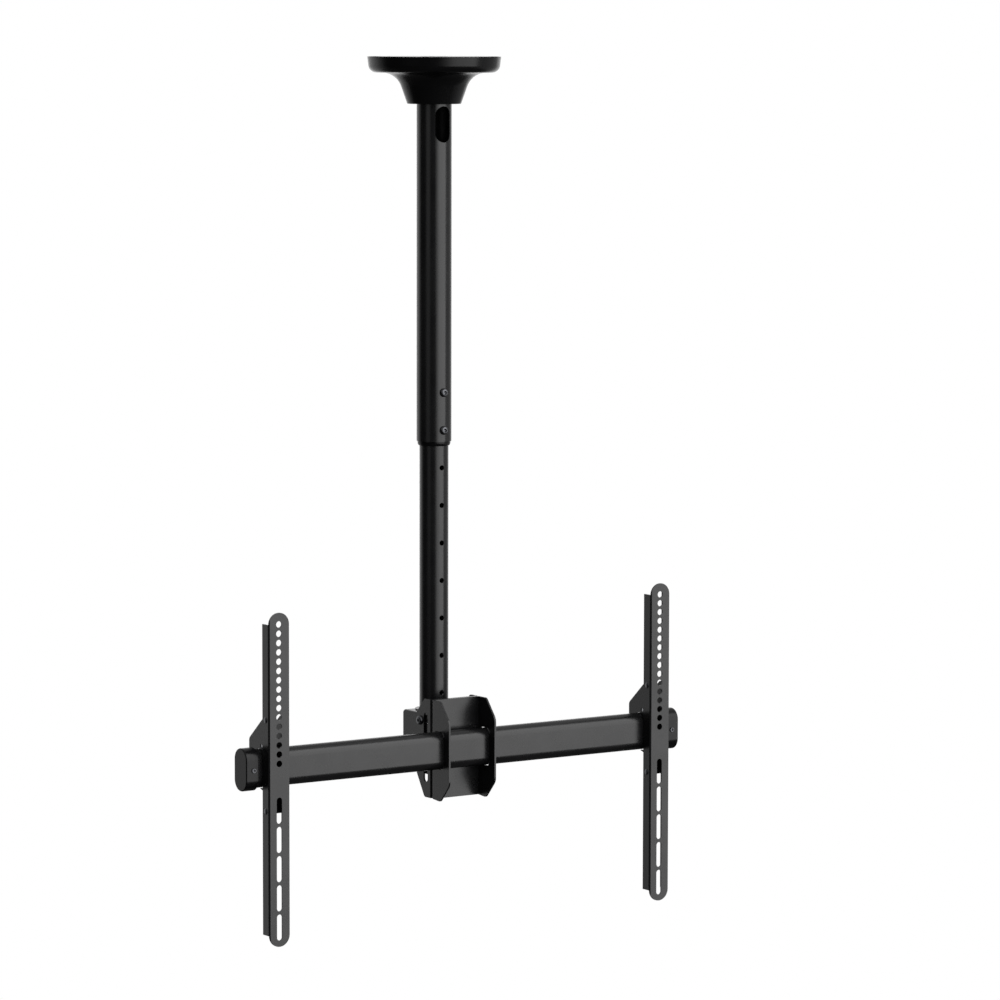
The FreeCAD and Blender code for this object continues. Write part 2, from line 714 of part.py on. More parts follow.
washer = ring("swivel_washer", D.swivel_bolt_radius + D.pin_clear, D.swivel_washer_radius,
              -D.yoke_top, lower_end)
nodes.append(washer)
under = -(D.yoke_top + D.yoke_sheet)
steel = ring("steel_washer", D.swivel_bolt_radius + D.pin_clear, D.steel_washer_radius,
             under - D.steel_washer_thick, under)
nodes.append(steel)
bolt_seat = under - D.steel_washer_thick
swivel_shank = D.steel_washer_thick + D.yoke_sheet + D.swivel_washer_thick + D.plug_tall
swivel_bolt = screw("swivel_bolt", D.swivel_bolt_radius, swivel_shank, D.swivel_head_radius,
                    D.swivel_head_tall, D.swivel_socket)
nodes.append(place(swivel_bolt, "down", (0, 0, bolt_seat)))

# Yoke under the pole: a folded sheet with two sides

inner_half = D.channel_wide / 2 - D.channel_sheet
yoke_half = inner_half - D.slide_clear
head_level = -D.head_drop
pivot = (-D.pivot_forward, head_level - D.pivot_below)
clamp = (-D.pivot_forward, pivot[1] + D.clamp_above)

yoke = new_body("pole_yoke")
drawing = sketch(yoke, "YZ")
box(drawing, -D.yoke_front, D.yoke_back, -D.yoke_bottom, -D.yoke_top)
pad(yoke, drawing, yoke_half * 2, both=True)
fillet(yoke, D.yoke_corner, lambda middle, way, edge: (
    along(way, Vector(1, 0, 0)) and not (
        middle.y < 0 and middle.z > -D.yoke_top.value - 1)))
drawing = sketch(yoke, "XZ")
box(drawing, -(yoke_half - D.yoke_sheet), yoke_half - D.yoke_sheet,
    -(D.yoke_bottom + D.yoke_sheet), under)
cut(yoke, drawing, D.yoke_front * 3, both=True)
fillet(yoke, D.yoke_bend, lambda middle, way, edge: (
    along(way, Vector(0, 1, 0)) and middle.z > -D.yoke_top.value - 0.01))
drawing = sketch(yoke, "XY", -D.yoke_top)
circle(drawing, (0, 0), D.swivel_bolt_radius + D.pin_clear)
cut(yoke, drawing, D.yoke_sheet)
drawing = sketch(yoke, "YZ")
circle(drawing, pivot, D.bolt_radius + D.pin_clear)
cut(yoke, drawing, D.channel_wide, both=True)


def arc_slot(drawing, centre, radius, width, first_angle, last_angle):
    """A curved slot round a centre, with angles in degrees from straight up, forwards."""
    half = width / 2
    spots = []
    for angle in (first_angle, last_angle):
        spots.append((centre[0] - radius * sine(angle), centre[1] + radius * cosine(angle)))
    start = math.radians(90 + first_angle.value)
    end = math.radians(90 + last_angle.value)
    normal = Vector(0, 0, 1)
    inner = drawing.addGeometry(Part.ArcOfCircle(
        Part.Circle(vector(centre), normal, value(radius - half)), start, end), False)
    tip = drawing.addGeometry(Part.ArcOfCircle(
        Part.Circle(vector(spots[1]), normal, value(half)), end, end + math.pi), False)
    outer = drawing.addGeometry(Part.ArcOfCircle(
        Part.Circle(vector(centre), normal, value(radius + half)), start, end), False)
    tail = drawing.addGeometry(Part.ArcOfCircle(
        Part.Circle(vector(spots[0]), normal, value(half)), start + math.pi,
        start + 2 * math.pi), False)
    for ends in ((inner, 2, tip, 2), (tip, 1, outer, 2), (outer, 1, tail, 2), (tail, 1, inner, 1)):
        drawing.addConstraint(Sketcher.Constraint("Tangent", *ends))
    drawing.addConstraint(Sketcher.Constraint("Coincident", inner, 3, outer, 3))
    hold(drawing, inner, 3, centre)
    hold(drawing, tip, 3, (spots[1][0], None))
    hold(drawing, tail, 3, (spots[0][0], None))
    for number, size in ((inner, radius - half), (outer, radius + half)):
        rule = drawing.addConstraint(Sketcher.Constraint("Radius", number, value(size)))
        bind(drawing, "Constraints[%d]" % rule, size)


drawing = sketch(yoke, "YZ")
arc_slot(drawing, pivot, D.clamp_above, (D.bolt_radius + D.bolt_clear) * 2,
         -D.tilt_up, D.tilt_down)
cut(yoke, drawing, D.channel_wide, both=True)
nodes.append(yoke)

# Tilt bracket: a channel that opens backwards and swings on the yoke

top = head_level + D.channel_high
bottom = head_level - D.channel_low
channel_tall = D.channel_high + D.channel_low
plate_face = D.rail_front - D.rail_deep - D.slide_clear - D.stud_head_thick
channel_rear = plate_face - D.channel_sheet
web_front = channel_rear - D.level_gap
web_rear = web_front - D.channel_sheet

tilt = new_body("tilt_bracket")
drawing = sketch(tilt, "YZ")
polygon(drawing, [
    (-web_front, bottom), (-D.tilt_shallow, bottom),
    (-D.tilt_back, bottom + D.tilt_slope_bottom), (-D.tilt_back, top - D.tilt_slope_top),
    (-D.tilt_shallow, top), (-web_front, top)])
pad(tilt, drawing, D.channel_wide, both=True)
fillet(tilt, D.yoke_corner, lambda middle, way, edge: (
    along(way, Vector(1, 0, 0)) and middle.y > -web_rear.value))
drawing = sketch(tilt, "XY", top)
box(drawing, -inner_half, inner_half, -web_rear, 0)
cut(tilt, drawing, channel_tall)
fillet(tilt, D.channel_bend, lambda middle, way, edge: (
    along(way, Vector(0, 0, 1)) and abs(middle.y + web_front.value) < 0.01))
drawing = sketch(tilt, "YZ")
upright_slot(drawing, (-D.tilt_slot_forward, head_level), D.tilt_slot_long, D.tilt_slot_wide)
circle(drawing, pivot, D.bolt_radius + D.weld_clear)
circle(drawing, clamp, D.bolt_radius + D.weld_clear)
cut(tilt, drawing, D.channel_wide * 2, both=True)
drawing = sketch(tilt, "XZ", web_rear)
circle(drawing, (0, head_level), D.bolt_radius + D.pin_clear)
slot_wide = (D.bolt_radius + D.bolt_clear) * 2
for side in (-1, 1):
    upright_slot(drawing, (D.stud_spread * side, head_level), slot_wide + D.level_swing * 2,
                 slot_wide)
cut(tilt, drawing, D.channel_sheet, back=True)
nodes.append(tilt)

# Pivot and clamp bolts on both sides, their heads outside and nuts inside the yoke

for name, spot in (("pivot", pivot), ("clamp", clamp)):
    bolts = []
    nuts = []
    for side, facing in ((-1, "left"), (1, "right")):
        grip = D.channel_sheet + D.slide_clear + D.yoke_sheet + D.slide_clear
        bolt = screw("%s_bolt_%s" % (name, facing), D.bolt_radius, grip + D.nut_tall,
                     D.bolt_head_radius, D.bolt_head_tall, D.bolt_socket)
        head = (D.channel_wide / 2 * side, spot[0], spot[1])
        bolts.append(place(bolt, facing, head))
        seat = ((yoke_half - D.yoke_sheet - D.slide_clear) * side, spot[0], spot[1])
        inward = "right" if side < 0 else "left"
        nuts.append(place(nut("%s_nut_%s" % (name, facing), D.bolt_radius), inward, seat))
    nodes.append(group("tilt_%s_bolts" % name, bolts))
    nodes.append(group("tilt_%s_nuts" % name, nuts))

# Rail channel: it opens forwards, and the rail runs through windows in its sides

channel = new_body("rail_channel")
drawing = sketch(channel, "YZ")
polygon(drawing, [
    (-channel_rear, bottom), (-channel_rear, top), (-D.channel_shallow, top),
    (-D.channel_front, top - D.channel_slope_top),
    (-D.channel_front, bottom + D.channel_slope_bottom),
    (-D.channel_shallow, bottom - D.channel_lean)])
pad(channel, drawing, D.channel_wide, both=True)
fillet(channel, D.channel_edge_round, lambda middle, way, edge: (
    along(way, Vector(1, 0, 0)) and middle.y < -D.channel_shallow.value - 1))
fillet(channel, D.channel_tip_round, lambda middle, way, edge: (
    along(way, Vector(1, 0, 0)) and abs(middle.y + D.channel_shallow.value) < 0.01))
drawing = sketch(channel, "XY", top)
box(drawing, -inner_half, inner_half, -(D.channel_front * 2), -plate_face)
cut(channel, drawing, channel_tall + D.channel_lean)
fillet(channel, D.channel_bend, lambda middle, way, edge: (
    along(way, Vector(0, 0, 1)) and abs(middle.y + channel_rear.value) < 0.01))
rail_half_tall = D.rail_tall / 2
rail_rear = D.rail_front - D.rail_deep
drawing = sketch(channel, "YZ")
round_box(drawing, -(D.rail_front + D.slide_clear), -(rail_rear - D.slide_clear / 2),
          head_level - rail_half_tall - D.slide_clear,
          head_level + rail_half_tall + D.slide_clear, D.window_corner)
cut(channel, drawing, D.channel_wide * 2, both=True)
drawing = sketch(channel, "XZ", channel_rear)
stud_hole = D.bolt_radius + D.weld_clear
stud_spots = [(0, head_level), (-D.stud_spread, head_level), (D.stud_spread, head_level)]
for spot in stud_spots:
    circle(drawing, spot, stud_hole)
rail_screw_level = head_level - D.rail_screw_below
for side in (-1, 1):
    circle(drawing, (D.rail_screw_across * side, rail_screw_level),
           D.small_screw_radius + D.weld_clear)
cut(channel, drawing, D.channel_sheet, back=True)
nodes.append(channel)

# Level studs through the channel's plate, their flat heads behind the rail, with
# spacers and nuts on the tilt bracket

studs = []
spacers = []
level_nuts = []
stud_end = web_rear - D.nut_tall
for i, (across, level) in enumerate(stud_spots, start=1):
    reach = plate_face - stud_end
    stud = turned("level_stud_%d" % i, [
        (0, 0), (D.stud_head_radius, 0), (D.stud_head_radius, -D.stud_head_thick),
        (D.bolt_radius, -D.stud_head_thick), (D.bolt_radius, -(D.stud_head_thick + reach)),
        (0, -(D.stud_head_thick + reach))])
    studs.append(place(stud, "front", (across, -(plate_face + D.stud_head_thick), level)))
    spacer = ring("level_spacer_%d" % i, D.bolt_radius + D.weld_clear, D.spacer_radius,
                  0, D.level_gap)
    spacers.append(place(spacer, "front", (across, -web_front, level)))
    level_nuts.append(place(nut("level_nut_%d" % i, D.bolt_radius), "back",
                            (across, -web_rear, level)))
nodes.append(group("level_studs", studs))
nodes.append(group("level_spacers", spacers))
nodes.append(group("level_nuts", level_nuts))

# Rail: a flat oval tube, with a moulded cap on each end

rail_low = head_level - rail_half_tall
rail_high = head_level + rail_half_tall
rail = new_body("cross_rail")
drawing = sketch(rail, "YZ")
round_box(drawing, -D.rail_front, -rail_rear, rail_low, rail_high, D.rail_round)
round_box(drawing, -(D.rail_front - D.rail_wall), -(rail_rear + D.rail_wall),
          rail_low + D.rail_wall, rail_high - D.rail_wall, D.rail_round - D.rail_wall)
pad(rail, drawing, D.rail_half * 2, both=True)
drawing = sketch(rail, "XZ", rail_rear)
for side in (-1, 1):
    circle(drawing, (D.rail_screw_across * side, rail_screw_level), D.small_screw_radius)
cut(rail, drawing, D.rail_wall, back=True)
drawing = sketch(rail, "XZ", D.rail_front)
cap_screw_across = D.rail_half - D.cap_screw_inset
for side in (-1, 1):
    circle(drawing, (cap_screw_across * side, head_level), D.small_screw_radius)
cut(rail, drawing, D.rail_wall)
nodes.append(rail)

rail_screws = []
for side in (-1, 1):
    piece = screw("rail_screw_%s" % ("left" if side < 0 else "right"), D.small_screw_radius,
                  D.channel_sheet + D.stud_head_thick + D.slide_clear + D.rail_wall * 2,
                  D.small_head_radius, D.small_head_tall, D.small_socket)
    spot = (D.rail_screw_across * side, -channel_rear, rail_screw_level)
    rail_screws.append(place(piece, "back", spot))
nodes.append(group("rail_screws", rail_screws))

cap_screws = []
for side, name in ((-1, "left"), (1, "right")):
    cap = new_body("end_cap_%s" % name)
    outer = D.cap_proud
    drawing = sketch(cap, "YZ", (D.rail_half - D.cap_skirt) * side)
    round_box(drawing, -(D.rail_front + outer), -(rail_rear - outer), rail_low - outer,
              rail_high + outer, D.rail_round + outer)
    pad(cap, drawing, D.cap_skirt + D.cap_end, back=side < 0)
    rim = (D.rail_half + D.cap_end) * side
    fillet(cap, D.cap_edge, lambda middle, way, edge: (
        not along(way, Vector(1, 0, 0))
        and abs(edge.Vertexes[0].Point.x - rim.value) < 0.01
        and abs(edge.Vertexes[-1].Point.x - rim.value) < 0.01))
    seat = D.weld_clear
    drawing = sketch(cap, "YZ", (D.rail_half - D.cap_skirt) * side)
    round_box(drawing, -(D.rail_front + seat), -(rail_rear - seat), rail_low - seat,
              rail_high + seat, D.rail_round + seat)
    cut(cap, drawing, D.cap_skirt, back=side > 0)
    drawing = sketch(cap, "XZ", D.rail_front + outer)
    circle(drawing, (cap_screw_across * side, head_level), D.small_screw_radius + D.weld_clear)
    cut(cap, drawing, outer)
    nodes.append(cap)
    piece = screw("cap_screw_%s" % name, D.small_screw_radius, outer + D.rail_wall * 2,
                  D.small_head_radius, D.small_head_tall, D.small_socket)
    spot = (cap_screw_across * side, -(D.rail_front + outer), head_level)
    cap_screws.append(place(piece, "front", spot))
nodes.append(group("cap_screws", cap_screws))

# Screen arms: a folded channel with a full-round face, hooked over the rail

arm_back = D.rail_front + D.slide_clear
arm_front = arm_back + D.arm_deep
arm_inner = D.arm_wide / 2 - D.arm_sheet
arm_high = head_level + D.arm_rise
arm_low = arm_high - D.arm_run
rivet_forward = arm_back + D.arm_deep / 2
rivet_levels = (head_level + D.rivet_top, head_level - D.rivet_bottom)
hook_half = arm_inner - D.weld_clear
hook_front = arm_front - D.arm_sheet - D.weld_clear
hook_gap = D.slide_clear
pin_level = rail_high + D.pin_rise
lip_level = rail_low - D.lip_gap


def screen_arm(name):
    arm = new_body("%s_arm" % name)
    drawing = sketch(arm, "XY", arm_high)
    box(drawing, -(D.arm_wide / 2), D.arm_wide / 2, -arm_front, -arm_back)
    pad(arm, drawing, D.arm_run, back=True)
    fillet(arm, D.arm_bend, lambda middle, way, edge: (
        along(way, Vector(0, 0, 1)) and abs(middle.y + arm_front.value) < 0.01))
    drawing = sketch(arm, "XY", arm_high)
    box(drawing, -arm_inner, arm_inner, -(arm_front - D.arm_sheet), 0)
    cut(arm, drawing, D.arm_run)
    drawing = sketch(arm, "XZ", arm_front)
    upright_slot(drawing, (0, (arm_high + arm_low) / 2), D.arm_run + D.arm_face_wide,
                 D.arm_face_wide)
    pad(arm, drawing, D.arm_sheet, back=True)
    drawing = sketch(arm, "XZ", arm_front)
    circle(drawing, (0, arm_high), D.arm_hole_radius)
    first = cut(arm, drawing, D.arm_sheet)
    repeat(arm, first, "Z", D.arm_hole_pitch, ARM_HOLES)
    drawing = sketch(arm, "XZ", arm_front)
    slot_middle = head_level - D.arm_slot_drop - D.arm_slot_long / 2
    upright_slot(drawing, (0, slot_middle), D.arm_slot_long, D.arm_slot_wide)
    first = cut(arm, drawing, D.arm_sheet)
    repeat(arm, first, "Z", D.arm_slot_pitch, ARM_SLOTS)
    drawing = sketch(arm, "YZ")
    for level in rivet_levels:
        circle(drawing, (-rivet_forward, level), D.rivet_radius + D.weld_clear)
    cut(arm, drawing, D.arm_wide * 2, both=True)
    return arm


def hook_bracket(name):
    """Two side plates whose notch takes the rail, a web before it and an apron below."""
    hook = new_body("%s_hook_bracket" % name)
    notch_front = D.rail_front + hook_gap
    notch_back = rail_rear - hook_gap
    foot = head_level - D.hook_bottom
    inside = hook_half - D.hook_sheet
    drawing = sketch(hook, "YZ")
    polygon(drawing, [
        (-hook_front, foot),
        (-hook_front, head_level + D.hook_top),
        (-notch_front, head_level + D.hook_top),
        (-D.hook_back, head_level + D.hook_shoulder),
        (-D.hook_back, head_level + D.hook_tip),
        (-notch_back, head_level + D.hook_tip),
        (-notch_back, rail_high + hook_gap),
        (-notch_front, rail_high + hook_gap),
        (-notch_front, lip_level),
        (-D.lip_back, lip_level),
        (-D.lip_back, lip_level - D.lip_edge),
        (-notch_front, lip_level - D.lip_tall),
        (-notch_front, foot)])
    pad(hook, drawing, hook_half * 2, both=True)
    fillet(hook, D.hook_round, lambda middle, way, edge: (
        along(way, Vector(1, 0, 0)) and abs(middle.y + D.hook_back.value) < 0.01
        and middle.z > head_level.value + D.hook_tip.value + 1))
    fillet(hook, D.rail_round, lambda middle, way, edge: (
        along(way, Vector(1, 0, 0)) and abs(middle.z - (rail_high + hook_gap).value) < 0.01))
    drawing = sketch(hook, "XY", head_level + D.hook_top)
    box(drawing, -inside, inside, -(hook_front - D.hook_sheet), 0)
    cut(hook, drawing, D.hook_top + D.hook_bottom)
    drawing = sketch(hook, "XZ", hook_front)
    box(drawing, -inside, inside, head_level + D.hook_web_top, head_level + D.hook_top)
    box(drawing, -inside, inside, foot, head_level - D.hook_web_bottom)
    cut(hook, drawing, D.hook_sheet)
    drawing = sketch(hook, "XY", lip_level)
    box(drawing, -D.tab_wide / 2, D.tab_wide / 2, -D.apron_front, -D.lip_back)
    pad(hook, drawing, D.tab_thick, back=True)
    drawing = sketch(hook, "XZ", D.apron_front)
    box(drawing, -(inside + D.hook_sheet / 2), inside + D.hook_sheet / 2, foot, lip_level)
    pad(hook, drawing, D.hook_sheet, back=True)
    drawing = sketch(hook, "XY", rail_low)
    circle(drawing, (0, -D.safety_forward), D.safety_radius + D.weld_clear)
    cut(hook, drawing, D.tab_thick * 2)
    drawing = sketch(hook, "YZ")
    for level in rivet_levels:
        circle(drawing, (-rivet_forward, level), D.rivet_radius + D.weld_clear)
    circle(drawing, (-D.pin_forward, pin_level),
           D.hanger_radius - D.pin_shoulder + D.weld_clear)
    cut(hook, drawing, D.arm_wide * 2, both=True)
    return hook


def hanger_pin(name):
    """A stepped pin that keeps the plates apart just above the rail."""
    half = hook_half - D.hook_sheet - D.weld_clear
    stub = D.hanger_radius - D.pin_shoulder
    tip = hook_half - D.pin_sunk
    piece = turned("%s_hanger_pin" % name, [
        (0, -tip), (stub, -tip), (stub, -half), (D.hanger_radius, -half),
        (D.hanger_radius, half), (stub, half), (stub, tip), (0, tip)])
    return piece


def rivet(label):
    """A domed rivet: its head stands on z = 0 and its shank hangs below."""
    tail = D.arm_sheet + D.weld_clear + D.hook_sheet
    return turned(label, [
        (0, D.rivet_head_tall), (D.rivet_head_radius / 2, D.rivet_head_tall),
        (D.rivet_head_radius, 0), (D.rivet_radius, 0), (D.rivet_radius, -tail),
        (D.rivet_tail_radius, -tail), (D.rivet_tail_radius, -(tail + D.rivet_tail_tall)),
        (0, -(tail + D.rivet_tail_tall))])


def safety_screw(name):
    """A knurled screw that closes the gap under the rail: its tip is at z = 0."""
    return turned("%s_safety_screw" % name, [
        (0, 0), (D.safety_radius - D.screw_chamfer, 0), (D.safety_radius, -D.screw_chamfer),
        (D.safety_radius, -D.safety_long), (D.safety_head_radius, -D.safety_long),
        (D.safety_head_radius, -(D.safety_long + D.safety_head_tall)),
        (0, -(D.safety_long + D.safety_head_tall))])


for side, name in ((-1, "left"), (1, "right")):
    across = (D.rail_half - D.arm_inset) * side
    nodes.append(place(screen_arm(name), "up", (across, 0, 0)))
    nodes.append(place(hook_bracket(name), "up", (across, 0, 0)))
    nodes.append(place(hanger_pin(name), "right", (across, -D.pin_forward, pin_level)))
    rivets = []
    for number, level in enumerate(rivet_levels, start=1):
        for facing, way in (("left", -1), ("right", 1)):
            piece = rivet("%s_rivet_%s_%d" % (name, facing, number))
            spot = (across + D.arm_wide / 2 * way, -rivet_forward, level)
            rivets.append(place(piece, facing, spot))
    nodes.append(group("%s_arm_rivets" % name, rivets))
    tip = rail_low - D.slide_clear
    nodes.append(place(safety_screw(name), "up", (across, -D.safety_forward, tip)))

# Checks and files

doc.recompute()
for thing in doc.Objects:
    if "Invalid" in thing.State or "Error" in thing.State:
        raise ValueError("%s (%s) has failed" % (thing.Label, thing.Name))
for node in nodes:
    shape = node.Shape
    if shape.isNull() or not shape.isValid():
        raise ValueError("%s has no valid shape" % node.Label)
    shape.exportStep("parts/%s.step" % node.Label)
    print("%-22s %d solid(s) %10.1f mm3" % (node.Label, len(shape.Solids), shape.Volume))
print(len(nodes), "nodes")
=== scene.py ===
"""Looks for a telescopic ceiling mount for a flat screen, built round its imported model."""

import json
import math

import bmesh
import bpy
from bpy.props import FloatProperty, FloatVectorProperty, IntProperty, PointerProperty
from mathutils import Matrix, Vector


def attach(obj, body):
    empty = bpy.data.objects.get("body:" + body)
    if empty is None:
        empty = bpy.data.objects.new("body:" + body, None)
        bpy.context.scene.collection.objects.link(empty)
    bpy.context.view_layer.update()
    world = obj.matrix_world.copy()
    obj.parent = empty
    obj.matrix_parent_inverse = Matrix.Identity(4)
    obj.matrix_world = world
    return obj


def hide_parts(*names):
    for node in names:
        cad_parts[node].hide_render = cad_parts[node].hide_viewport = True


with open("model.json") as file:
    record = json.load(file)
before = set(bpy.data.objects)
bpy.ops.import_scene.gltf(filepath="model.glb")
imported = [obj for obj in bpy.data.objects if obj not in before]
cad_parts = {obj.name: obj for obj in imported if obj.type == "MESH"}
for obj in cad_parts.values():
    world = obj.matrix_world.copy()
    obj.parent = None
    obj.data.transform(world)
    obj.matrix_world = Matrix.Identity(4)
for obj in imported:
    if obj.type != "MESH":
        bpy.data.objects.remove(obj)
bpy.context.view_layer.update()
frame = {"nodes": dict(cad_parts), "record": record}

bl_info = {
    "name": "Ceiling mount looks",
    "version": (1, 0, 0),
    "blender": (4, 5, 0),
    "location": "View3D > Sidebar > Mount",
    "description": "Finishes, fasteners and studio for a ceiling mount for a flat screen",
    "category": "Object",
}

MM = 0.001

# Fasteners and collar: radii, heights and depths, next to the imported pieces' own sizes
BOLT = 3.0 * MM
BOLT_HEAD = 3.3 * MM
BOLT_SOCKET = 2.0 * MM
LOCK_HEAD = 2.6 * MM
LOCK_RADIUS = 5.8 * MM
LOCK_TALL = 4.4 * MM
LOCK_SOCKET = 2.4 * MM
LOCK_SKIRT = 0.8 * MM
COLLAR_STEP = 1.2 * MM
COLLAR_GROOVE = 1.0 * MM
COLLAR_LONGER = 1.9 * MM
SMALL = 2.0 * MM
SMALL_HEAD = 1.5 * MM
SMALL_SOCKET = 1.2 * MM
CAP_SOCKET = 1.8 * MM
CAP_RADIUS = 3.3 * MM
TILT_RADIUS = 6.2 * MM
RIVET_TALL = 1.2 * MM
RIVET_SHANK = 2.5 * MM
RIVET_TAIL = 3.5 * MM
RIVET_TAIL_TALL = 0.8 * MM
SAFETY_HEAD = 6.0 * MM
SAFETY_SHANK = 2.5 * MM

# Meshes: merging distance, steps round a turned piece, and angles that count as sharp
MERGE = 0.002 * MM
STEPS = 48
COLLAR_STEPS = 96
FLAT_UNDER = math.radians(0.4)
SHARP = math.radians(28)
SMOOTH_UNDER = math.radians(34)

# Part of a noise's range that its pattern fills
NOISE_LOW = 0.3
NOISE_HIGH = 0.7

# Share of a button head's radius that is flat on top
FLAT_TOP = 0.62
WIDE_FLAT_TOP = 0.86

# Studio: what the lamps aim at, their edges in degrees round and above the mount, and each wall's
# level, direction, and the share of that direction where it starts and where it is full
AIM = (0, -0.05, -0.6)
SOFTBOX_LEFTS = (-22, -13, -4)
SOFTBOX_RIGHT = 51
SOFTBOX_LOW = -17
SOFTBOX_HIGH = 54
FILL_EDGES = (-86, -60, -4, 35)
BACKDROP_START = 0.6
BACKDROP_FULL = 0.98
WALLS = (
    ("rear_level", (0.643, 0.766, 0), 0.8, 0.97),
    ("side_level", (1, 0, 0), 0.5, 0.9),
    ("ceiling_level", (0, 0, 1), 0.3, 0.8))


def linear(code):
    """Linear red, green and blue of an sRGB hex colour."""
    shares = [int(code[i:i + 2], 16) / 255 for i in (1, 3, 5)]
    return [s / 12.92 if s <= 0.04045 else ((s + 0.055) / 1.055) ** 2.4 for s in shares]


# Sizes and colours that a user would change

class MountFinish(bpy.types.PropertyGroup):
    """Colours and grain of the mount's finishes."""

    coat_colour: FloatVectorProperty(
        name="Powder coat", description="Black polyester powder coat on the steel",
        subtype="COLOR", min=0, max=1, default=linear("#121213"))
    plastic_colour: FloatVectorProperty(
        name="Moulded plastic", description="Black moulded ABS of canopy, caps and collar",
        subtype="COLOR", min=0, max=1, default=linear("#0b0b0c"))
    fastener_colour: FloatVectorProperty(
        name="Black zinc", description="Black passivated zinc on the fasteners",
        subtype="COLOR", min=0, max=1, default=linear("#5a5b5e"))
    zinc_colour: FloatVectorProperty(
        name="Clear zinc", description="Clear passivated zinc on the hidden steel pieces",
        subtype="COLOR", min=0, max=1, default=linear("#c4c6c9"))
    coat_peel: FloatProperty(
        name="Orange peel", description="Width of the waves in the powder coat, in millimetres",
        min=0.2, max=10, default=1.6)
    plastic_grain: FloatProperty(
        name="Mould grain", description="Width of the grain that the mould leaves, in millimetres",
        min=0.2, max=10, default=1.2)


class MountSizes(bpy.types.PropertyGroup):
    """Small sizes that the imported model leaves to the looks."""

    sheet_edge: FloatProperty(
        name="Sheet edge", description="Rounding of punched and sheared sheet edges",
        subtype="DISTANCE", unit="LENGTH", min=0, default=0.35 * MM)
    arm_side: FloatProperty(
        name="Arm side", description="Width of the chamfer on the left side of an arm's face",
        subtype="DISTANCE", unit="LENGTH", min=0, default=1.4 * MM)
    tube_edge: FloatProperty(
        name="Tube edge", description="Rounding of the tubes' ends and holes",
        subtype="DISTANCE", unit="LENGTH", min=0, default=0.3 * MM)
    mould_edge: FloatProperty(
        name="Mould edge", description="Rounding of the moulded pieces' edges",
        subtype="DISTANCE", unit="LENGTH", min=0, default=0.4 * MM)
    thread_pitch: FloatProperty(
        name="Thread pitch", description="Distance between the thread's ridges",
        subtype="DISTANCE", unit="LENGTH", min=0.3 * MM, default=1.0 * MM)
    knurl_count: IntProperty(
        name="Knurls", description="Ridges round a safety screw's head", min=8, default=28)
    knurl_depth: FloatProperty(
        name="Knurl depth", description="Depth of the grooves between the ridges",
        subtype="DISTANCE", unit="LENGTH", min=0, default=0.3 * MM)


class MountStage(bpy.types.PropertyGroup):
    """Camera, lamps and background."""

    camera_distance: FloatProperty(
        name="Camera distance", description="Level distance from the pole to the camera",
        subtype="DISTANCE", unit="LENGTH", default=6.3227)
    camera_height: FloatProperty(
        name="Camera height", description="Height of the camera above the ceiling plane",
        subtype="DISTANCE", unit="LENGTH", default=0.04)
    camera_azimuth: FloatProperty(
        name="Camera azimuth",
        description="Camera's place round the pole, to the left of the front",
        subtype="ANGLE", default=math.radians(33.0207))
    camera_yaw: FloatProperty(
        name="Camera yaw", description="Turn of the camera to the right of the pole",
        subtype="ANGLE", default=math.radians(0.7945))
    camera_pitch: FloatProperty(
        name="Camera pitch", description="Downward slope of the camera",
        subtype="ANGLE", default=math.radians(5.6545))
    camera_roll: FloatProperty(
        name="Camera roll", description="Turn of the camera about its own axis",
        subtype="ANGLE", default=math.radians(0.1132))
    camera_lens: FloatProperty(
        name="Focal length", description="Focal length in millimetres on a 36 mm sensor",
        default=172.328)
    softbox_power: FloatProperty(
        name="Softbox power", description="Power of the main softbox in watts", default=3550)
    fill_power: FloatProperty(
        name="Fill power", description="Power of the narrow fill light in watts", default=140)
    lamp_distance: FloatProperty(
        name="Lamp distance", description="Distance of the lamps from the mount",
        subtype="DISTANCE", unit="LENGTH", default=16)
    backdrop_level: FloatProperty(
        name="Backdrop level", description="Strength of the white backdrop behind the mount",
        default=0.85)
    rear_level: FloatProperty(
        name="Rear level", description="Strength of the white paper straight behind the mount",
        default=0.8)
    side_level: FloatProperty(
        name="Side level", description="Strength of the pale wall to the right of the mount",
        default=0.35)
    ceiling_level: FloatProperty(
        name="Ceiling level", description="Strength of the pale ceiling over the mount",
        default=0.5)
    room_level: FloatProperty(
        name="Room level", description="Strength of the dim room in front of the mount",
        default=0.03)
    floor_drop: FloatProperty(
        name="Floor drop", description="Depth of the floor below the ceiling plane",
        subtype="DISTANCE", unit="LENGTH", default=2.8)
    floor_radius: FloatProperty(
        name="Floor radius", description="Radius of the round floor",
        subtype="DISTANCE", unit="LENGTH", min=0.1, default=4.0)


# Materials

def add(tree, kind, settings=None, inputs=None):
    """Add a node with its settings, and fill its inputs with values or links."""
    node = tree.nodes.new(kind)
    for name, value in (settings or {}).items():
        setattr(node, name, value)
    for name, value in (inputs or {}).items():
        if isinstance(value, bpy.types.NodeSocket):
            tree.links.new(value, node.inputs[name])
        else:
            node.inputs[name].default_value = value
    return node


def new_material(name):
    """An empty node material and its tree."""
    material = bpy.data.materials.new(name)
    material.use_nodes = True
    material.node_tree.nodes.clear()
    return material, material.node_tree


def finish_material(tree, shader):
    """Lead the last shader to the material's surface."""
    output = add(tree, "ShaderNodeOutputMaterial")
    tree.links.new(shader, output.inputs["Surface"])


def spread(tree, value, low, high, start=NOISE_LOW, end=NOISE_HIGH):
    """Stretch a pattern's values from start and end to low and high."""
    node = add(tree, "ShaderNodeMapRange", {}, {
        "Value": value, "From Min": start, "From Max": end, "To Min": low, "To Max": high})
    return node.outputs["Result"]


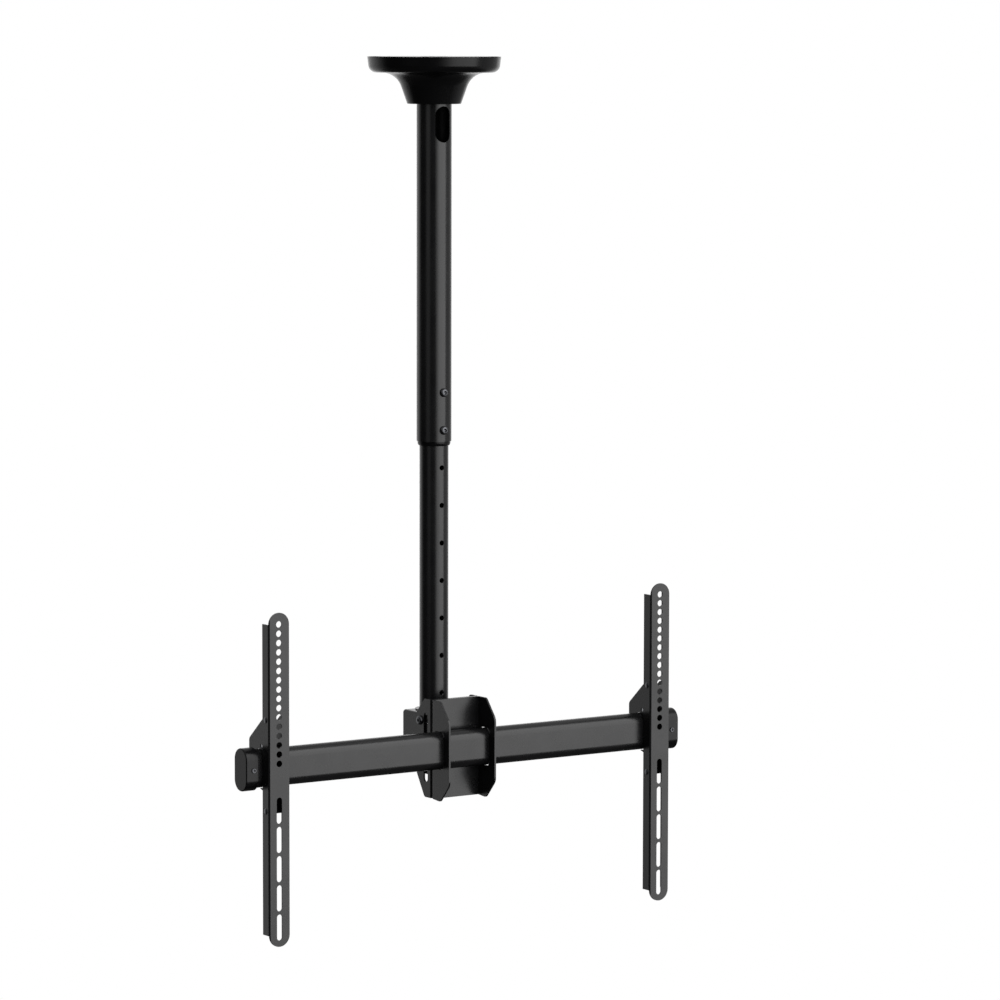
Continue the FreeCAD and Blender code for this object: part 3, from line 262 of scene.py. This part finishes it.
def coated_steel(finish):
    """Polyester powder coat on steel: satin black, a faint orange peel, even colour."""
    material, tree = new_material("satin_black_powder_coat")
    place = add(tree, "ShaderNodeTexCoord").outputs["Object"]
    peel = add(tree, "ShaderNodeTexNoise", {"noise_dimensions": "3D"}, {
        "Vector": place, "Scale": 1 / (finish.coat_peel * MM), "Detail": 1.5, "Roughness": 0.5})
    cloud = add(tree, "ShaderNodeTexNoise", {"noise_dimensions": "3D"}, {
        "Vector": place, "Scale": 28.0, "Detail": 2.0, "Roughness": 0.55})
    gloss = spread(tree, cloud.outputs["Fac"], 0.24, 0.29)
    shade = spread(tree, cloud.outputs["Fac"], 0.85, 1.15)
    tint = add(tree, "ShaderNodeMix", {"data_type": "RGBA", "blend_type": "MULTIPLY"})
    tint.inputs["Factor"].default_value = 1.0
    tint.inputs[6].default_value = (*finish.coat_colour, 1)
    tree.links.new(shade, tint.inputs[7])
    bump = add(tree, "ShaderNodeBump", {}, {
        "Strength": 0.12, "Distance": 0.05 * MM, "Height": peel.outputs["Fac"]})
    shader = add(tree, "ShaderNodeBsdfPrincipled", {}, {
        "Base Color": tint.outputs[2], "Roughness": gloss,
        "IOR": 1.5, "Normal": bump.outputs["Normal"]})
    finish_material(tree, shader.outputs["BSDF"])
    return material


def moulded_abs(finish):
    """Moulded ABS: near black, smooth from the polished mould, with a soft sheen."""
    material, tree = new_material("black_moulded_abs")
    place = add(tree, "ShaderNodeTexCoord").outputs["Object"]
    grain = add(tree, "ShaderNodeTexNoise", {"noise_dimensions": "3D"}, {
        "Vector": place, "Scale": 1 / (finish.plastic_grain * MM), "Detail": 2.0})
    flow = add(tree, "ShaderNodeTexNoise", {"noise_dimensions": "3D"}, {
        "Vector": place, "Scale": 18.0, "Detail": 1.0, "Distortion": 0.6})
    gloss = spread(tree, flow.outputs["Fac"], 0.23, 0.27)
    bump = add(tree, "ShaderNodeBump", {}, {
        "Strength": 0.08, "Distance": 0.04 * MM, "Height": grain.outputs["Fac"]})
    shader = add(tree, "ShaderNodeBsdfPrincipled", {}, {
        "Base Color": (*finish.plastic_colour, 1), "Roughness": gloss,
        "IOR": 1.54, "Specular IOR Level": 0.23, "Normal": bump.outputs["Normal"]})
    finish_material(tree, shader.outputs["BSDF"])
    return material


def black_zinc(finish):
    """Black passivated zinc on steel: a dark metal with a slightly uneven lustre."""
    material, tree = new_material("black_passivated_zinc")
    place = add(tree, "ShaderNodeTexCoord").outputs["Object"]
    bloom = add(tree, "ShaderNodeTexNoise", {"noise_dimensions": "3D"}, {
        "Vector": place, "Scale": 420.0, "Detail": 3.0})
    gloss = spread(tree, bloom.outputs["Fac"], 0.22, 0.34)
    shader = add(tree, "ShaderNodeBsdfPrincipled", {}, {
        "Base Color": (*finish.fastener_colour, 1), "Roughness": gloss,
        "Metallic": 1.0})
    finish_material(tree, shader.outputs["BSDF"])
    return material


def clear_zinc(finish):
    """Clear passivated zinc on steel: pale metal with a fine spangled lustre."""
    material, tree = new_material("clear_passivated_zinc")
    place = add(tree, "ShaderNodeTexCoord").outputs["Object"]
    spangle = add(tree, "ShaderNodeTexVoronoi", {"feature": "F1"}, {
        "Vector": place, "Scale": 300.0})
    gloss = spread(tree, spangle.outputs["Distance"], 0.25, 0.4, 0.0, 1.0)
    shader = add(tree, "ShaderNodeBsdfPrincipled", {}, {
        "Base Color": (*finish.zinc_colour, 1), "Roughness": gloss,
        "Metallic": 1.0})
    finish_material(tree, shader.outputs["BSDF"])
    return material


FINISHES = {
    "painted_steel": coated_steel,
    "black_plastic": moulded_abs,
    "blackened_steel": black_zinc,
    "zinc_steel": clear_zinc,
}


def material_for(slot):
    """The finish for one of the record's material slots, made once."""
    made = bpy.context.scene.get("mount_finishes") or {}
    name = made.get(slot)
    if name is None:
        material = FINISHES[slot](bpy.context.scene.mount_finish)
        made = dict(made)
        made[slot] = material.name
        bpy.context.scene["mount_finishes"] = made
        return material
    return bpy.data.materials[name]


# Frame

def record_slots():
    """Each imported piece's material slot."""
    return {part["node"]: part["material_slot"] for part in frame["record"]["subparts"]}


def record_bodies():
    """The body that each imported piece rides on."""
    groups = frame["record"]["behaviour"]["bodies"]
    return {node: body for body, nodes in groups.items() for node in nodes}


SLOT = record_slots()
BODY = record_bodies()


def keep(*names):
    """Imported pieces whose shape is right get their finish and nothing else."""
    for name in names:
        for holder in frame["nodes"][name].material_slots:
            holder.material = material_for(SLOT[name])


def settle(piece, node):
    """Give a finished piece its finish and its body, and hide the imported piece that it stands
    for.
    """
    piece.data.materials.clear()
    piece.data.materials.append(material_for(SLOT[node]))
    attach(piece, BODY[node])
    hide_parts(node)
    return piece


def new_piece(name, mesh):
    """An object with this mesh, in the scene."""
    piece = bpy.data.objects.new(name, mesh)
    bpy.context.scene.collection.objects.link(piece)
    return piece


def baked(piece):
    """Turn a piece's modifiers into plain mesh."""
    bpy.context.view_layer.update()
    graph = bpy.context.evaluated_depsgraph_get()
    mesh = bpy.data.meshes.new_from_object(
        piece.evaluated_get(graph), preserve_all_data_layers=True, depsgraph=graph)
    piece.modifiers.clear()
    piece.data = mesh
    return piece


def ease_face_side(form, wide):
    """Draw in the left side of the face that a form turns to the screen, where its bend starts."""
    front = min(vert.co.y for vert in form.verts) + 0.01 * MM
    face = [vert for vert in form.verts if vert.co.y < front]
    left = min(vert.co.x for vert in face) + wide
    for vert in face:
        vert.co.x = max(vert.co.x, left)


def dress(node, edge, steps=2, face_side=0):
    """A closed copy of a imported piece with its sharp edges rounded."""
    form = bmesh.new()
    form.from_mesh(frame["nodes"][node].data)
    bmesh.ops.remove_doubles(form, verts=form.verts, dist=MERGE)
    bmesh.ops.dissolve_limit(form, angle_limit=FLAT_UNDER, verts=form.verts,
                             edges=form.edges, delimit={"NORMAL"})
    if face_side:
        ease_face_side(form, face_side)
    for face in form.faces:
        face.smooth = True
    mesh = bpy.data.meshes.new(node + "_dressed")
    form.to_mesh(mesh)
    form.free()
    piece = new_piece(node + "_dressed", mesh)
    rounding = piece.modifiers.new("edge", "BEVEL")
    rounding.width = edge
    rounding.segments = steps
    rounding.limit_method = "ANGLE"
    rounding.angle_limit = SHARP
    rounding.use_clamp_overlap = True
    rounding.harden_normals = False
    even = piece.modifiers.new("even", "WEIGHTED_NORMAL")
    even.weight = 90
    even.keep_sharp = True
    return settle(baked(piece), node)


# Fasteners: one turned mesh per kind, set out by Geometry Nodes

def ring_radius(kind, radius, turn):
    """Radius of a ring at an angle: round, or a hexagon of that half width across flats."""
    if kind != "hex":
        return radius
    sector = math.radians(60)
    off = (turn % sector) - sector / 2
    return radius / math.cos(off)


def turned_mesh(name, rings, steps=STEPS, knurl=0):
    """A closed mesh turned round Z from rings of (kind, radius, height), top to bottom."""
    form = bmesh.new()
    rows = []
    for kind, radius, height in rings:
        if radius == 0:
            rows.append([form.verts.new((0, 0, height))])
            continue
        row = []
        for i in range(steps):
            turn = 2 * math.pi * i / steps
            r = ring_radius(kind, radius, turn)
            if kind == "knurl" and i % 2:
                r -= knurl
            row.append(form.verts.new((r * math.cos(turn), r * math.sin(turn), height)))
        rows.append(row)
    for upper, lower in zip(rows, rows[1:]):
        for i in range(steps):
            j = (i + 1) % steps
            if len(upper) == 1:
                form.faces.new((upper[0], lower[i], lower[j]))
            elif len(lower) == 1:
                form.faces.new((upper[j], upper[i], lower[0]))
            else:
                form.faces.new((upper[j], upper[i], lower[i], lower[j]))
    bmesh.ops.recalc_face_normals(form, faces=form.faces)
    mesh = bpy.data.meshes.new(name)
    form.to_mesh(mesh)
    form.free()
    return mesh


def thread_rings(radius, top, bottom, pitch):
    """Rings of a shank from top to bottom, with a ridge at each pitch."""
    depth = pitch * 0.3
    rings = [("round", radius - depth, top)]
    height = top - pitch / 2
    while height - pitch > bottom:
        rings += [("round", radius, height), ("round", radius - depth, height - pitch / 2)]
        height -= pitch
    return rings + [
        ("round", radius - depth, bottom + pitch / 2), ("round", radius - 1.6 * depth, bottom)]


def button_screw(name, head, tall, shank, length, socket, pitch, skirt=0,
                 flat=FLAT_TOP):
    """Button head screw on z = 0 with a hexagon socket, a skirt below it and a threaded shank."""
    deep = max(tall * 0.75, socket * 1.35)
    rings = [
        ("hex", 0, tall - deep - socket * 0.55), ("hex", socket, tall - deep),
        ("hex", socket, tall - 0.1 * MM),
        ("hex", socket + 0.12 * MM, tall),
        ("round", head * flat, tall), ("round", head * (0.53 + 0.47 * flat), tall * 0.86),
        ("round", head * (0.82 + 0.18 * flat), tall * 0.6), ("round", head * 0.99, tall * 0.3),
        ("round", head, tall * 0.12), ("round", head * 0.985, -skirt), ("round", shank, -skirt)]
    rings += thread_rings(shank, -skirt - 0.3 * MM, -length, pitch)
    rings.append(("round", 0, -length))
    return turned_mesh(name, rings)


def hexagon_nut(name, flat, tall, bore):
    """Hexagon nut on z = 0 with both faces chamfered."""
    chamfer = 0.55 * MM
    rings = [
        ("round", bore, tall - 0.3 * MM), ("round", bore + 0.35 * MM, tall),
        ("round", flat * 0.96, tall), ("hex", flat, tall - chamfer), ("hex", flat, chamfer),
        ("round", flat * 0.96, 0), ("round", bore + 0.35 * MM, 0), ("round", bore, 0.3 * MM),
        ("round", bore, tall - 0.3 * MM)]
    return turned_mesh(name, rings)


def domed_rivet(name, head, tall, shank, length, tail, tail_tall):
    """Domed rivet on z = 0 with an upset tail."""
    rings = [("round", 0, tall)]
    for share in (0.3, 0.55, 0.78, 0.93):
        rings.append(("round", head * share, tall * math.sqrt(1 - share ** 2)))
    rings += [("round", head, 0.15 * tall), ("round", head, 0), ("round", shank, 0),
              ("round", shank, -length), ("round", tail, -length),
              ("round", tail, -(length + tail_tall * 0.6)),
              ("round", tail * 0.85, -(length + tail_tall)), ("round", 0, -(length + tail_tall))]
    return turned_mesh(name, rings)


def knurled_screw(name, head, tall, shank, length, sizes):
    """Screw with its tip on z = 0 and a knurled head below its shank."""
    edge = 0.5 * MM
    rings = [("round", 0, 0)]
    rings += thread_rings(shank, 0, -length + edge, sizes.thread_pitch)
    rings += [("round", shank, -length), ("round", head - 2 * edge, -length),
              ("knurl", head, -length - edge), ("knurl", head, -length - tall + edge),
              ("round", head - 2 * edge, -length - tall), ("round", head * 0.55, -length - tall),
              ("round", head * 0.5, -length - tall + edge), ("round", 0, -length - tall + edge)]
    return turned_mesh(name, rings, 2 * sizes.knurl_count, sizes.knurl_depth)


def solids(node):
    """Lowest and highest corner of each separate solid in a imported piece."""
    form = bmesh.new()
    form.from_mesh(frame["nodes"][node].data)
    bmesh.ops.remove_doubles(form, verts=form.verts, dist=MERGE)
    left = set(form.verts)
    found = []
    while left:
        front = [left.pop()]
        group = list(front)
        while front:
            reached = front.pop()
            near = {edge.other_vert(reached) for edge in reached.link_edges} & left
            left -= near
            front += near
            group += near
        low = Vector([min(v.co[k] for v in group) for k in range(3)])
        high = Vector([max(v.co[k] for v in group) for k in range(3)])
        found.append((low, high))
    form.free()
    return sorted(found, key=lambda pair: tuple(round(c, 5) for c in pair[0]))


def set_out(name, node, mesh, spots):
    """Place copies of a turned mesh at points, each facing its own way, by Geometry Nodes."""
    pattern = new_piece(name + "_pattern", mesh)
    points = bpy.data.meshes.new(name)
    points.from_pydata([spot for spot, facing in spots], [], [])
    facing = points.attributes.new("facing", "FLOAT_VECTOR", "POINT")
    for item, (spot, way) in zip(facing.data, spots):
        item.vector = way
    piece = new_piece(name, points)
    tree = bpy.data.node_groups.new(name + "_tree", "GeometryNodeTree")
    tree.interface.new_socket("Geometry", in_out="INPUT", socket_type="NodeSocketGeometry")
    size = tree.interface.new_socket("Size", in_out="INPUT", socket_type="NodeSocketFloat")
    size.default_value = 1.0
    tree.interface.new_socket("Geometry", in_out="OUTPUT", socket_type="NodeSocketGeometry")
    start = add(tree, "NodeGroupInput")
    source = add(tree, "GeometryNodeObjectInfo", {"transform_space": "ORIGINAL"}, {
        "Object": pattern})
    way = add(tree, "GeometryNodeInputNamedAttribute", {"data_type": "FLOAT_VECTOR"}, {
        "Name": "facing"})
    turn = add(tree, "FunctionNodeAlignRotationToVector", {"axis": "Z"}, {
        "Vector": way.outputs["Attribute"]})
    copies = add(tree, "GeometryNodeInstanceOnPoints", {}, {
        "Points": start.outputs["Geometry"], "Instance": source.outputs["Geometry"],
        "Rotation": turn.outputs["Rotation"], "Scale": start.outputs["Size"]})
    whole = add(tree, "GeometryNodeRealizeInstances", {}, {"Geometry": copies.outputs["Instances"]})
    finish = add(tree, "GeometryNodeSetMaterial", {}, {
        "Geometry": whole.outputs["Geometry"], "Material": material_for(SLOT[node])})
    end = add(tree, "NodeGroupOutput")
    tree.links.new(finish.outputs["Geometry"], end.inputs["Geometry"])
    modifier = piece.modifiers.new("set out", "NODES")
    modifier.node_group = tree
    modifier[size.identifier] = 1.0
    baked(piece)
    bpy.data.objects.remove(pattern)
    smooth_by_angle(piece.data)
    return settle(piece, node)


def smooth_by_angle(mesh):
    """Smooth shading that stays crisp at the sharp edges."""
    form = bmesh.new()
    form.from_mesh(mesh)
    for face in form.faces:
        face.smooth = True
    for edge in form.edges:
        edge.smooth = edge.calc_face_angle(0) < SMOOTH_UNDER
    form.to_mesh(mesh)
    form.free()


def along(axis, sign):
    """The direction of an axis, or its reverse."""
    way = Vector((0, 0, 0))
    way[axis] = sign
    return way


def seats(node, axis, sign, depth):
    """Points on each solid's axis, a depth below the end that faces the given way."""
    spots = []
    for low, high in solids(node):
        spot = (low + high) / 2
        outer = high[axis] if sign > 0 else low[axis]
        spot[axis] = outer - sign * depth
        spots.append((spot, along(axis, sign)))
    return spots


def outward_seats(node, depth):
    """Points a depth below the outer ends of solids that face left and right from their middle."""
    found = solids(node)
    middle = sum(low.x + high.x for low, high in found) / (2 * len(found))
    spots = []
    for low, high in found:
        sign = 1 if low.x + high.x > 2 * middle else -1
        spot = (low + high) / 2
        spot.x = (high.x if sign > 0 else low.x) - sign * depth
        spots.append((spot, along(0, sign)))
    return spots


def widths(node, axis):
    """Largest and smallest half width, and length, of the first solid of a row of fasteners."""
    low, high = solids(node)[0]
    size = high - low
    across = [size[k] for k in range(3) if k != axis]
    return max(across) / 2, min(across) / 2, size[axis]


def row_of_screws(node, axis, sign, tall, shank, socket, head=0, flat=FLAT_TOP):
    """Button head screws that stand for a packed row with their heads all facing one way."""
    radius, _, length = widths(node, axis)
    radius = max(radius, head)
    pitch = bpy.context.scene.mount_sizes.thread_pitch
    mesh = button_screw(node + "_turned", radius, tall, shank, length - tall, socket, pitch,
                        flat=flat)
    return set_out(node + "_set", node, mesh, seats(node, axis, sign, tall))


def lock_screws():
    """The two large button heads on the tube's front, with a skirt that meets its round wall."""
    node = "lock_screws"
    length = widths(node, 1)[2]
    mesh = button_screw(node + "_turned", LOCK_RADIUS, LOCK_TALL, BOLT, length - LOCK_HEAD,
                        LOCK_SOCKET, bpy.context.scene.mount_sizes.thread_pitch, LOCK_SKIRT)
    return set_out(node + "_set", node, mesh, seats(node, 1, -1, LOCK_HEAD))


def collar():
    """The moulded collar: a sleeve in the upper tube and a rounded lip a little inside its wall."""
    form = frame["nodes"]["tube_collar"].data
    reach = [(vert.co.xy.length, vert.co.z) for vert in form.vertices]
    bore = min(r for r, z in reach)
    outer = max(r for r, z in reach)
    low = min(z for r, z in reach) - COLLAR_LONGER
    top = max(z for r, z in reach)
    step = max(z for r, z in reach if r > outer - 0.1 * MM)
    sleeve = max(r for r, z in reach if z > step + MM)
    lip = outer - COLLAR_STEP
    round_wide = (lip - bore) * 0.8
    round_tall = step - low - COLLAR_GROOVE
    rings = [("round", bore, top), ("round", sleeve - 0.3 * MM, top),
             ("round", sleeve, top - 0.3 * MM), ("round", sleeve, step),
             ("round", sleeve + 0.4 * MM, step), ("round", sleeve + 0.4 * MM, low + round_tall)]
    for k in range(7):
        turn = math.radians(15 * k)
        rings.append(("round", lip - round_wide * (1 - math.cos(turn)),
                      low + round_tall * (1 - math.sin(turn))))
    rings += [("round", bore + 0.3 * MM, low), ("round", bore, low + 0.3 * MM),
              ("round", bore, top)]
    piece = new_piece("tube_collar_turned", turned_mesh("tube_collar_turned", rings, COLLAR_STEPS))
    smooth_by_angle(piece.data)
    return settle(piece, "tube_collar")


def pair_of_screws(node, tall, shank, socket, head):
    """Button head screws with their heads facing out to the left and to the right."""
    radius, _, length = widths(node, 0)
    radius = max(radius, head)
    pitch = bpy.context.scene.mount_sizes.thread_pitch
    mesh = button_screw(node + "_turned", radius, tall, shank, length - tall, socket, pitch)
    return set_out(node + "_set", node, mesh, outward_seats(node, tall))


def row_of_nuts(node, axis, sign, bore):
    """Hexagon nuts that stand for a packed row."""
    _, flat, tall = widths(node, axis)
    mesh = hexagon_nut(node + "_turned", flat, tall, bore)
    return set_out(node + "_set", node, mesh, seats(node, axis, sign, tall))


def pairs_of_rivets(node):
    """Rivets with their heads facing out from both sides of an arm."""
    radius, _, length = widths(node, 0)
    mesh = domed_rivet(node + "_turned", radius, RIVET_TALL, RIVET_SHANK,
                       length - RIVET_TALL - RIVET_TAIL_TALL, RIVET_TAIL, RIVET_TAIL_TALL)
    return set_out(node + "_set", node, mesh, outward_seats(node, RIVET_TALL))


def safety_screw(node):
    """The knurled screw under one end of the rail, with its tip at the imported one's tip."""
    low, high = solids(node)[0]
    tip = Vector(((low.x + high.x) / 2, (low.y + high.y) / 2, high.z))
    mesh = knurled_screw(node + "_turned", (high.x - low.x) / 2, SAFETY_HEAD, SAFETY_SHANK,
                         high.z - low.z - SAFETY_HEAD, bpy.context.scene.mount_sizes)
    return set_out(node + "_set", node, mesh, [(tip, along(2, 1))])


# Operators

class MOUNT_OT_ceiling_fixing(bpy.types.Operator):
    """Ceiling plate with its socket, cross bolts and nuts"""

    bl_idname = "mount.ceiling_fixing"
    bl_label = "Ceiling fixing"

    def execute(self, context):
        sizes = context.scene.mount_sizes
        dress("ceiling_plate", sizes.sheet_edge)
        row_of_screws("cross_bolts", 0, -1, BOLT_HEAD, BOLT, BOLT_SOCKET)
        row_of_nuts("cross_nuts", 0, 1, BOLT)
        return {"FINISHED"}


class MOUNT_OT_canopy(bpy.types.Operator):
    """Moulded canopy that hides the ceiling fixing"""

    bl_idname = "mount.canopy"
    bl_label = "Canopy"

    def execute(self, context):
        dress("canopy_cover", context.scene.mount_sizes.mould_edge)
        return {"FINISHED"}


class MOUNT_OT_pole(bpy.types.Operator):
    """Both pole tubes, the collar between them and the screws that lock the height"""

    bl_idname = "mount.pole"
    bl_label = "Telescopic pole"

    def execute(self, context):
        sizes = context.scene.mount_sizes
        dress("upper_tube", sizes.tube_edge)
        dress("lower_tube", sizes.tube_edge)
        collar()
        keep("tube_plug", "swivel_washer", "steel_washer", "swivel_bolt")
        lock_screws()
        return {"FINISHED"}


class MOUNT_OT_head(bpy.types.Operator):
    """Yoke, tilt bracket and their bolts"""

    bl_idname = "mount.head"
    bl_label = "Swivel and tilt head"

    def execute(self, context):
        sizes = context.scene.mount_sizes
        dress("pole_yoke", sizes.sheet_edge)
        dress("tilt_bracket", sizes.sheet_edge)
        for name in ("pivot", "clamp"):
            pair_of_screws("tilt_%s_bolts" % name, BOLT_HEAD, BOLT, BOLT_SOCKET, TILT_RADIUS)
            keep("tilt_%s_nuts" % name)
        return {"FINISHED"}


class MOUNT_OT_rail(bpy.types.Operator):
    """Rail with its channel, end caps, studs and screws"""

    bl_idname = "mount.rail"
    bl_label = "Cross rail"

    def execute(self, context):
        sizes = context.scene.mount_sizes
        dress("rail_channel", sizes.sheet_edge)
        dress("cross_rail", sizes.tube_edge)
        dress("end_cap_left", sizes.mould_edge)
        dress("end_cap_right", sizes.mould_edge)
        keep("level_spacers", "level_studs")
        row_of_nuts("level_nuts", 1, 1, BOLT)
        row_of_screws("rail_screws", 1, 1, SMALL_HEAD, SMALL, SMALL_SOCKET)
        row_of_screws("cap_screws", 1, -1, SMALL_HEAD, SMALL, CAP_SOCKET, CAP_RADIUS,
                      WIDE_FLAT_TOP)
        return {"FINISHED"}


class MOUNT_OT_screen_arms(bpy.types.Operator):
    """Both screen arms with their hooks, pins, rivets and safety screws"""

    bl_idname = "mount.screen_arms"
    bl_label = "Screen arms"

    def execute(self, context):
        sizes = context.scene.mount_sizes
        for side in ("left", "right"):
            dress(side + "_arm", sizes.sheet_edge, face_side=sizes.arm_side)
            dress(side + "_hook_bracket", sizes.sheet_edge)
            keep(side + "_hanger_pin")
            pairs_of_rivets(side + "_arm_rivets")
            safety_screw(side + "_safety_screw")
        return {"FINISHED"}


def lamp(name, power, left, right, low, high, distance, aim):
    """A softbox between two azimuths and two elevations in degrees, seen from the aim."""
    light = bpy.data.lights.new(name, "AREA")
    light.shape = "RECTANGLE"
    light.energy = power
    light.size = 2 * distance * math.tan(math.radians(right - left) / 2)
    light.size_y = 2 * distance * math.tan(math.radians(high - low) / 2)
    azimuth = math.radians(left + right) / 2
    elevation = math.radians(low + high) / 2
    way = Vector((math.sin(azimuth) * math.cos(elevation),
                  -math.cos(azimuth) * math.cos(elevation), math.sin(elevation)))
    holder = bpy.data.objects.new(name, light)
    bpy.context.scene.collection.objects.link(holder)
    holder.location = aim + way * distance
    holder.rotation_euler = (-way).to_track_quat("-Z", "Y").to_euler()
    return holder


class MOUNT_OT_stage(bpy.types.Operator):
    """Floor, lamps, backdrop and camera. The softbox is three nested ones, so its edge is soft"""

    bl_idname = "mount.stage"
    bl_label = "Studio"

    def execute(self, context):
        stage = context.scene.mount_stage
        self.set_world(context.scene, stage)
        self.set_floor(stage)
        aim = Vector(AIM)
        far = stage.lamp_distance
        middle = math.tan(math.radians(SOFTBOX_RIGHT - SOFTBOX_LEFTS[1]) / 2)
        for left in SOFTBOX_LEFTS:
            wide = math.tan(math.radians(SOFTBOX_RIGHT - left) / 2) / middle
            lamp("softbox", stage.softbox_power * wide / len(SOFTBOX_LEFTS), left,
                 SOFTBOX_RIGHT, SOFTBOX_LOW, SOFTBOX_HIGH, far, aim)
        lamp("fill", stage.fill_power, *FILL_EDGES, far, aim)
        self.set_camera(context.scene, stage)
        return {"FINISHED"}

    def set_world(self, scene, stage):
        """A dim room, white behind the mount and pale to its right and above.

        The camera itself sees plain white.
        """
        world = bpy.data.worlds.new("studio")
        world.use_nodes = True
        tree = world.node_tree
        tree.nodes.clear()
        place = add(tree, "ShaderNodeTexCoord").outputs["Generated"]
        depth = add(tree, "ShaderNodeVectorMath", {"operation": "DOT_PRODUCT"}, {
            0: place, 1: (0, 1, 0)})
        backdrop = add(tree, "ShaderNodeMapRange", {"interpolation_type": "SMOOTHSTEP"}, {
            "Value": depth.outputs["Value"], "From Min": BACKDROP_START,
            "From Max": BACKDROP_FULL,
            "To Min": stage.room_level, "To Max": stage.backdrop_level})
        walls = backdrop.outputs["Result"]
        for level, way, start, end in WALLS:
            share = add(tree, "ShaderNodeVectorMath", {"operation": "DOT_PRODUCT"}, {
                0: place, 1: way})
            wall = add(tree, "ShaderNodeMapRange", {"interpolation_type": "SMOOTHSTEP"}, {
                "Value": share.outputs["Value"], "From Min": start, "From Max": end,
                "To Min": 0.0, "To Max": getattr(stage, level)})
            walls = add(tree, "ShaderNodeMath", {"operation": "ADD"}, {
                0: walls, 1: wall.outputs["Result"]}).outputs["Value"]
        studio = add(tree, "ShaderNodeBackground", {}, {
            "Color": (1, 1, 1, 1), "Strength": walls})
        paper = add(tree, "ShaderNodeBackground", {}, {"Color": (1, 1, 1, 1), "Strength": 1.0})
        ray = add(tree, "ShaderNodeLightPath")
        mix = add(tree, "ShaderNodeMixShader", {}, {
            0: ray.outputs["Is Camera Ray"], 1: studio.outputs[0], 2: paper.outputs[0]})
        output = add(tree, "ShaderNodeOutputWorld")
        tree.links.new(mix.outputs[0], output.inputs["Surface"])
        scene.world = world

    def set_floor(self, stage):
        """A grey round floor far below, white for the camera and open from beneath."""
        form = bmesh.new()
        bmesh.ops.create_circle(form, cap_ends=True, segments=96, radius=stage.floor_radius)
        bmesh.ops.translate(form, verts=form.verts, vec=(0, 0, -stage.floor_drop))
        mesh = bpy.data.meshes.new("floor")
        form.to_mesh(mesh)
        form.free()
        floor = new_piece("floor", mesh)
        material, tree = new_material("pale_floor")
        pale = add(tree, "ShaderNodeBsdfDiffuse", {}, {"Color": (*linear("#4a4a4a"), 1)})
        white = add(tree, "ShaderNodeEmission", {}, {"Color": (1, 1, 1, 1), "Strength": 1.0})
        ray = add(tree, "ShaderNodeLightPath")
        seen = add(tree, "ShaderNodeMixShader", {}, {
            0: ray.outputs["Is Camera Ray"], 1: pale.outputs[0], 2: white.outputs[0]})
        side = add(tree, "ShaderNodeNewGeometry")
        clear = add(tree, "ShaderNodeBsdfTransparent")
        open_below = add(tree, "ShaderNodeMixShader", {}, {
            0: side.outputs["Backfacing"], 1: seen.outputs[0], 2: clear.outputs[0]})
        finish_material(tree, open_below.outputs[0])
        mesh.materials.append(material)

    def set_camera(self, scene, stage):
        """The photograph's viewpoint: left of the front and a little above the ceiling."""
        data = bpy.data.cameras.new("camera")
        data.sensor_width = 36
        data.lens = stage.camera_lens
        place = Vector((-math.sin(stage.camera_azimuth) * stage.camera_distance,
                        -math.cos(stage.camera_azimuth) * stage.camera_distance,
                        stage.camera_height))
        turn = stage.camera_azimuth + stage.camera_yaw
        slope = stage.camera_pitch
        ahead = Vector((math.sin(turn) * math.cos(slope), math.cos(turn) * math.cos(slope),
                        -math.sin(slope)))
        right = Vector((math.cos(turn), -math.sin(turn), 0))
        up = right.cross(ahead)
        tip = math.cos(stage.camera_roll)
        lean = math.sin(stage.camera_roll)
        right, up = right * tip + up * lean, up * tip - right * lean
        camera = bpy.data.objects.new("camera", data)
        camera.matrix_world = Matrix((
            (right.x, up.x, -ahead.x, place.x), (right.y, up.y, -ahead.y, place.y),
            (right.z, up.z, -ahead.z, place.z), (0, 0, 0, 1)))
        scene.collection.objects.link(camera)
        scene.camera = camera
        scene.view_settings.view_transform = "Standard"


OPERATORS = (
    MOUNT_OT_stage, MOUNT_OT_ceiling_fixing, MOUNT_OT_canopy, MOUNT_OT_pole, MOUNT_OT_head,
    MOUNT_OT_rail, MOUNT_OT_screen_arms)


class MOUNT_PT_looks(bpy.types.Panel):
    """Lists the mount's steps and settings"""

    bl_idname = "MOUNT_PT_looks"
    bl_label = "Ceiling mount"
    bl_space_type = "VIEW_3D"
    bl_region_type = "UI"
    bl_category = "Mount"

    def draw(self, context):
        for step in OPERATORS:
            self.layout.operator(step.bl_idname)
        for group in (context.scene.mount_finish, context.scene.mount_sizes,
                      context.scene.mount_stage):
            column = self.layout.column()
            for name in group.bl_rna.properties.keys():
                if name not in ("rna_type", "name"):
                    column.prop(group, name)


GROUPS = (("mount_finish", MountFinish), ("mount_sizes", MountSizes), ("mount_stage", MountStage))


def register():
    for name, group in GROUPS:
        bpy.utils.register_class(group)
        setattr(bpy.types.Scene, name, PointerProperty(type=group))
    for step in OPERATORS:
        bpy.utils.register_class(step)
    bpy.utils.register_class(MOUNT_PT_looks)


def unregister():
    bpy.utils.unregister_class(MOUNT_PT_looks)
    for step in reversed(OPERATORS):
        bpy.utils.unregister_class(step)
    for name, group in reversed(GROUPS):
        delattr(bpy.types.Scene, name)
        bpy.utils.unregister_class(group)


def main():
    register()
    bpy.ops.mount.stage()
    bpy.ops.mount.ceiling_fixing()
    bpy.ops.mount.canopy()
    bpy.ops.mount.pole()
    bpy.ops.mount.head()
    bpy.ops.mount.rail()
    bpy.ops.mount.screen_arms()


if __name__ == "__main__":
    main()
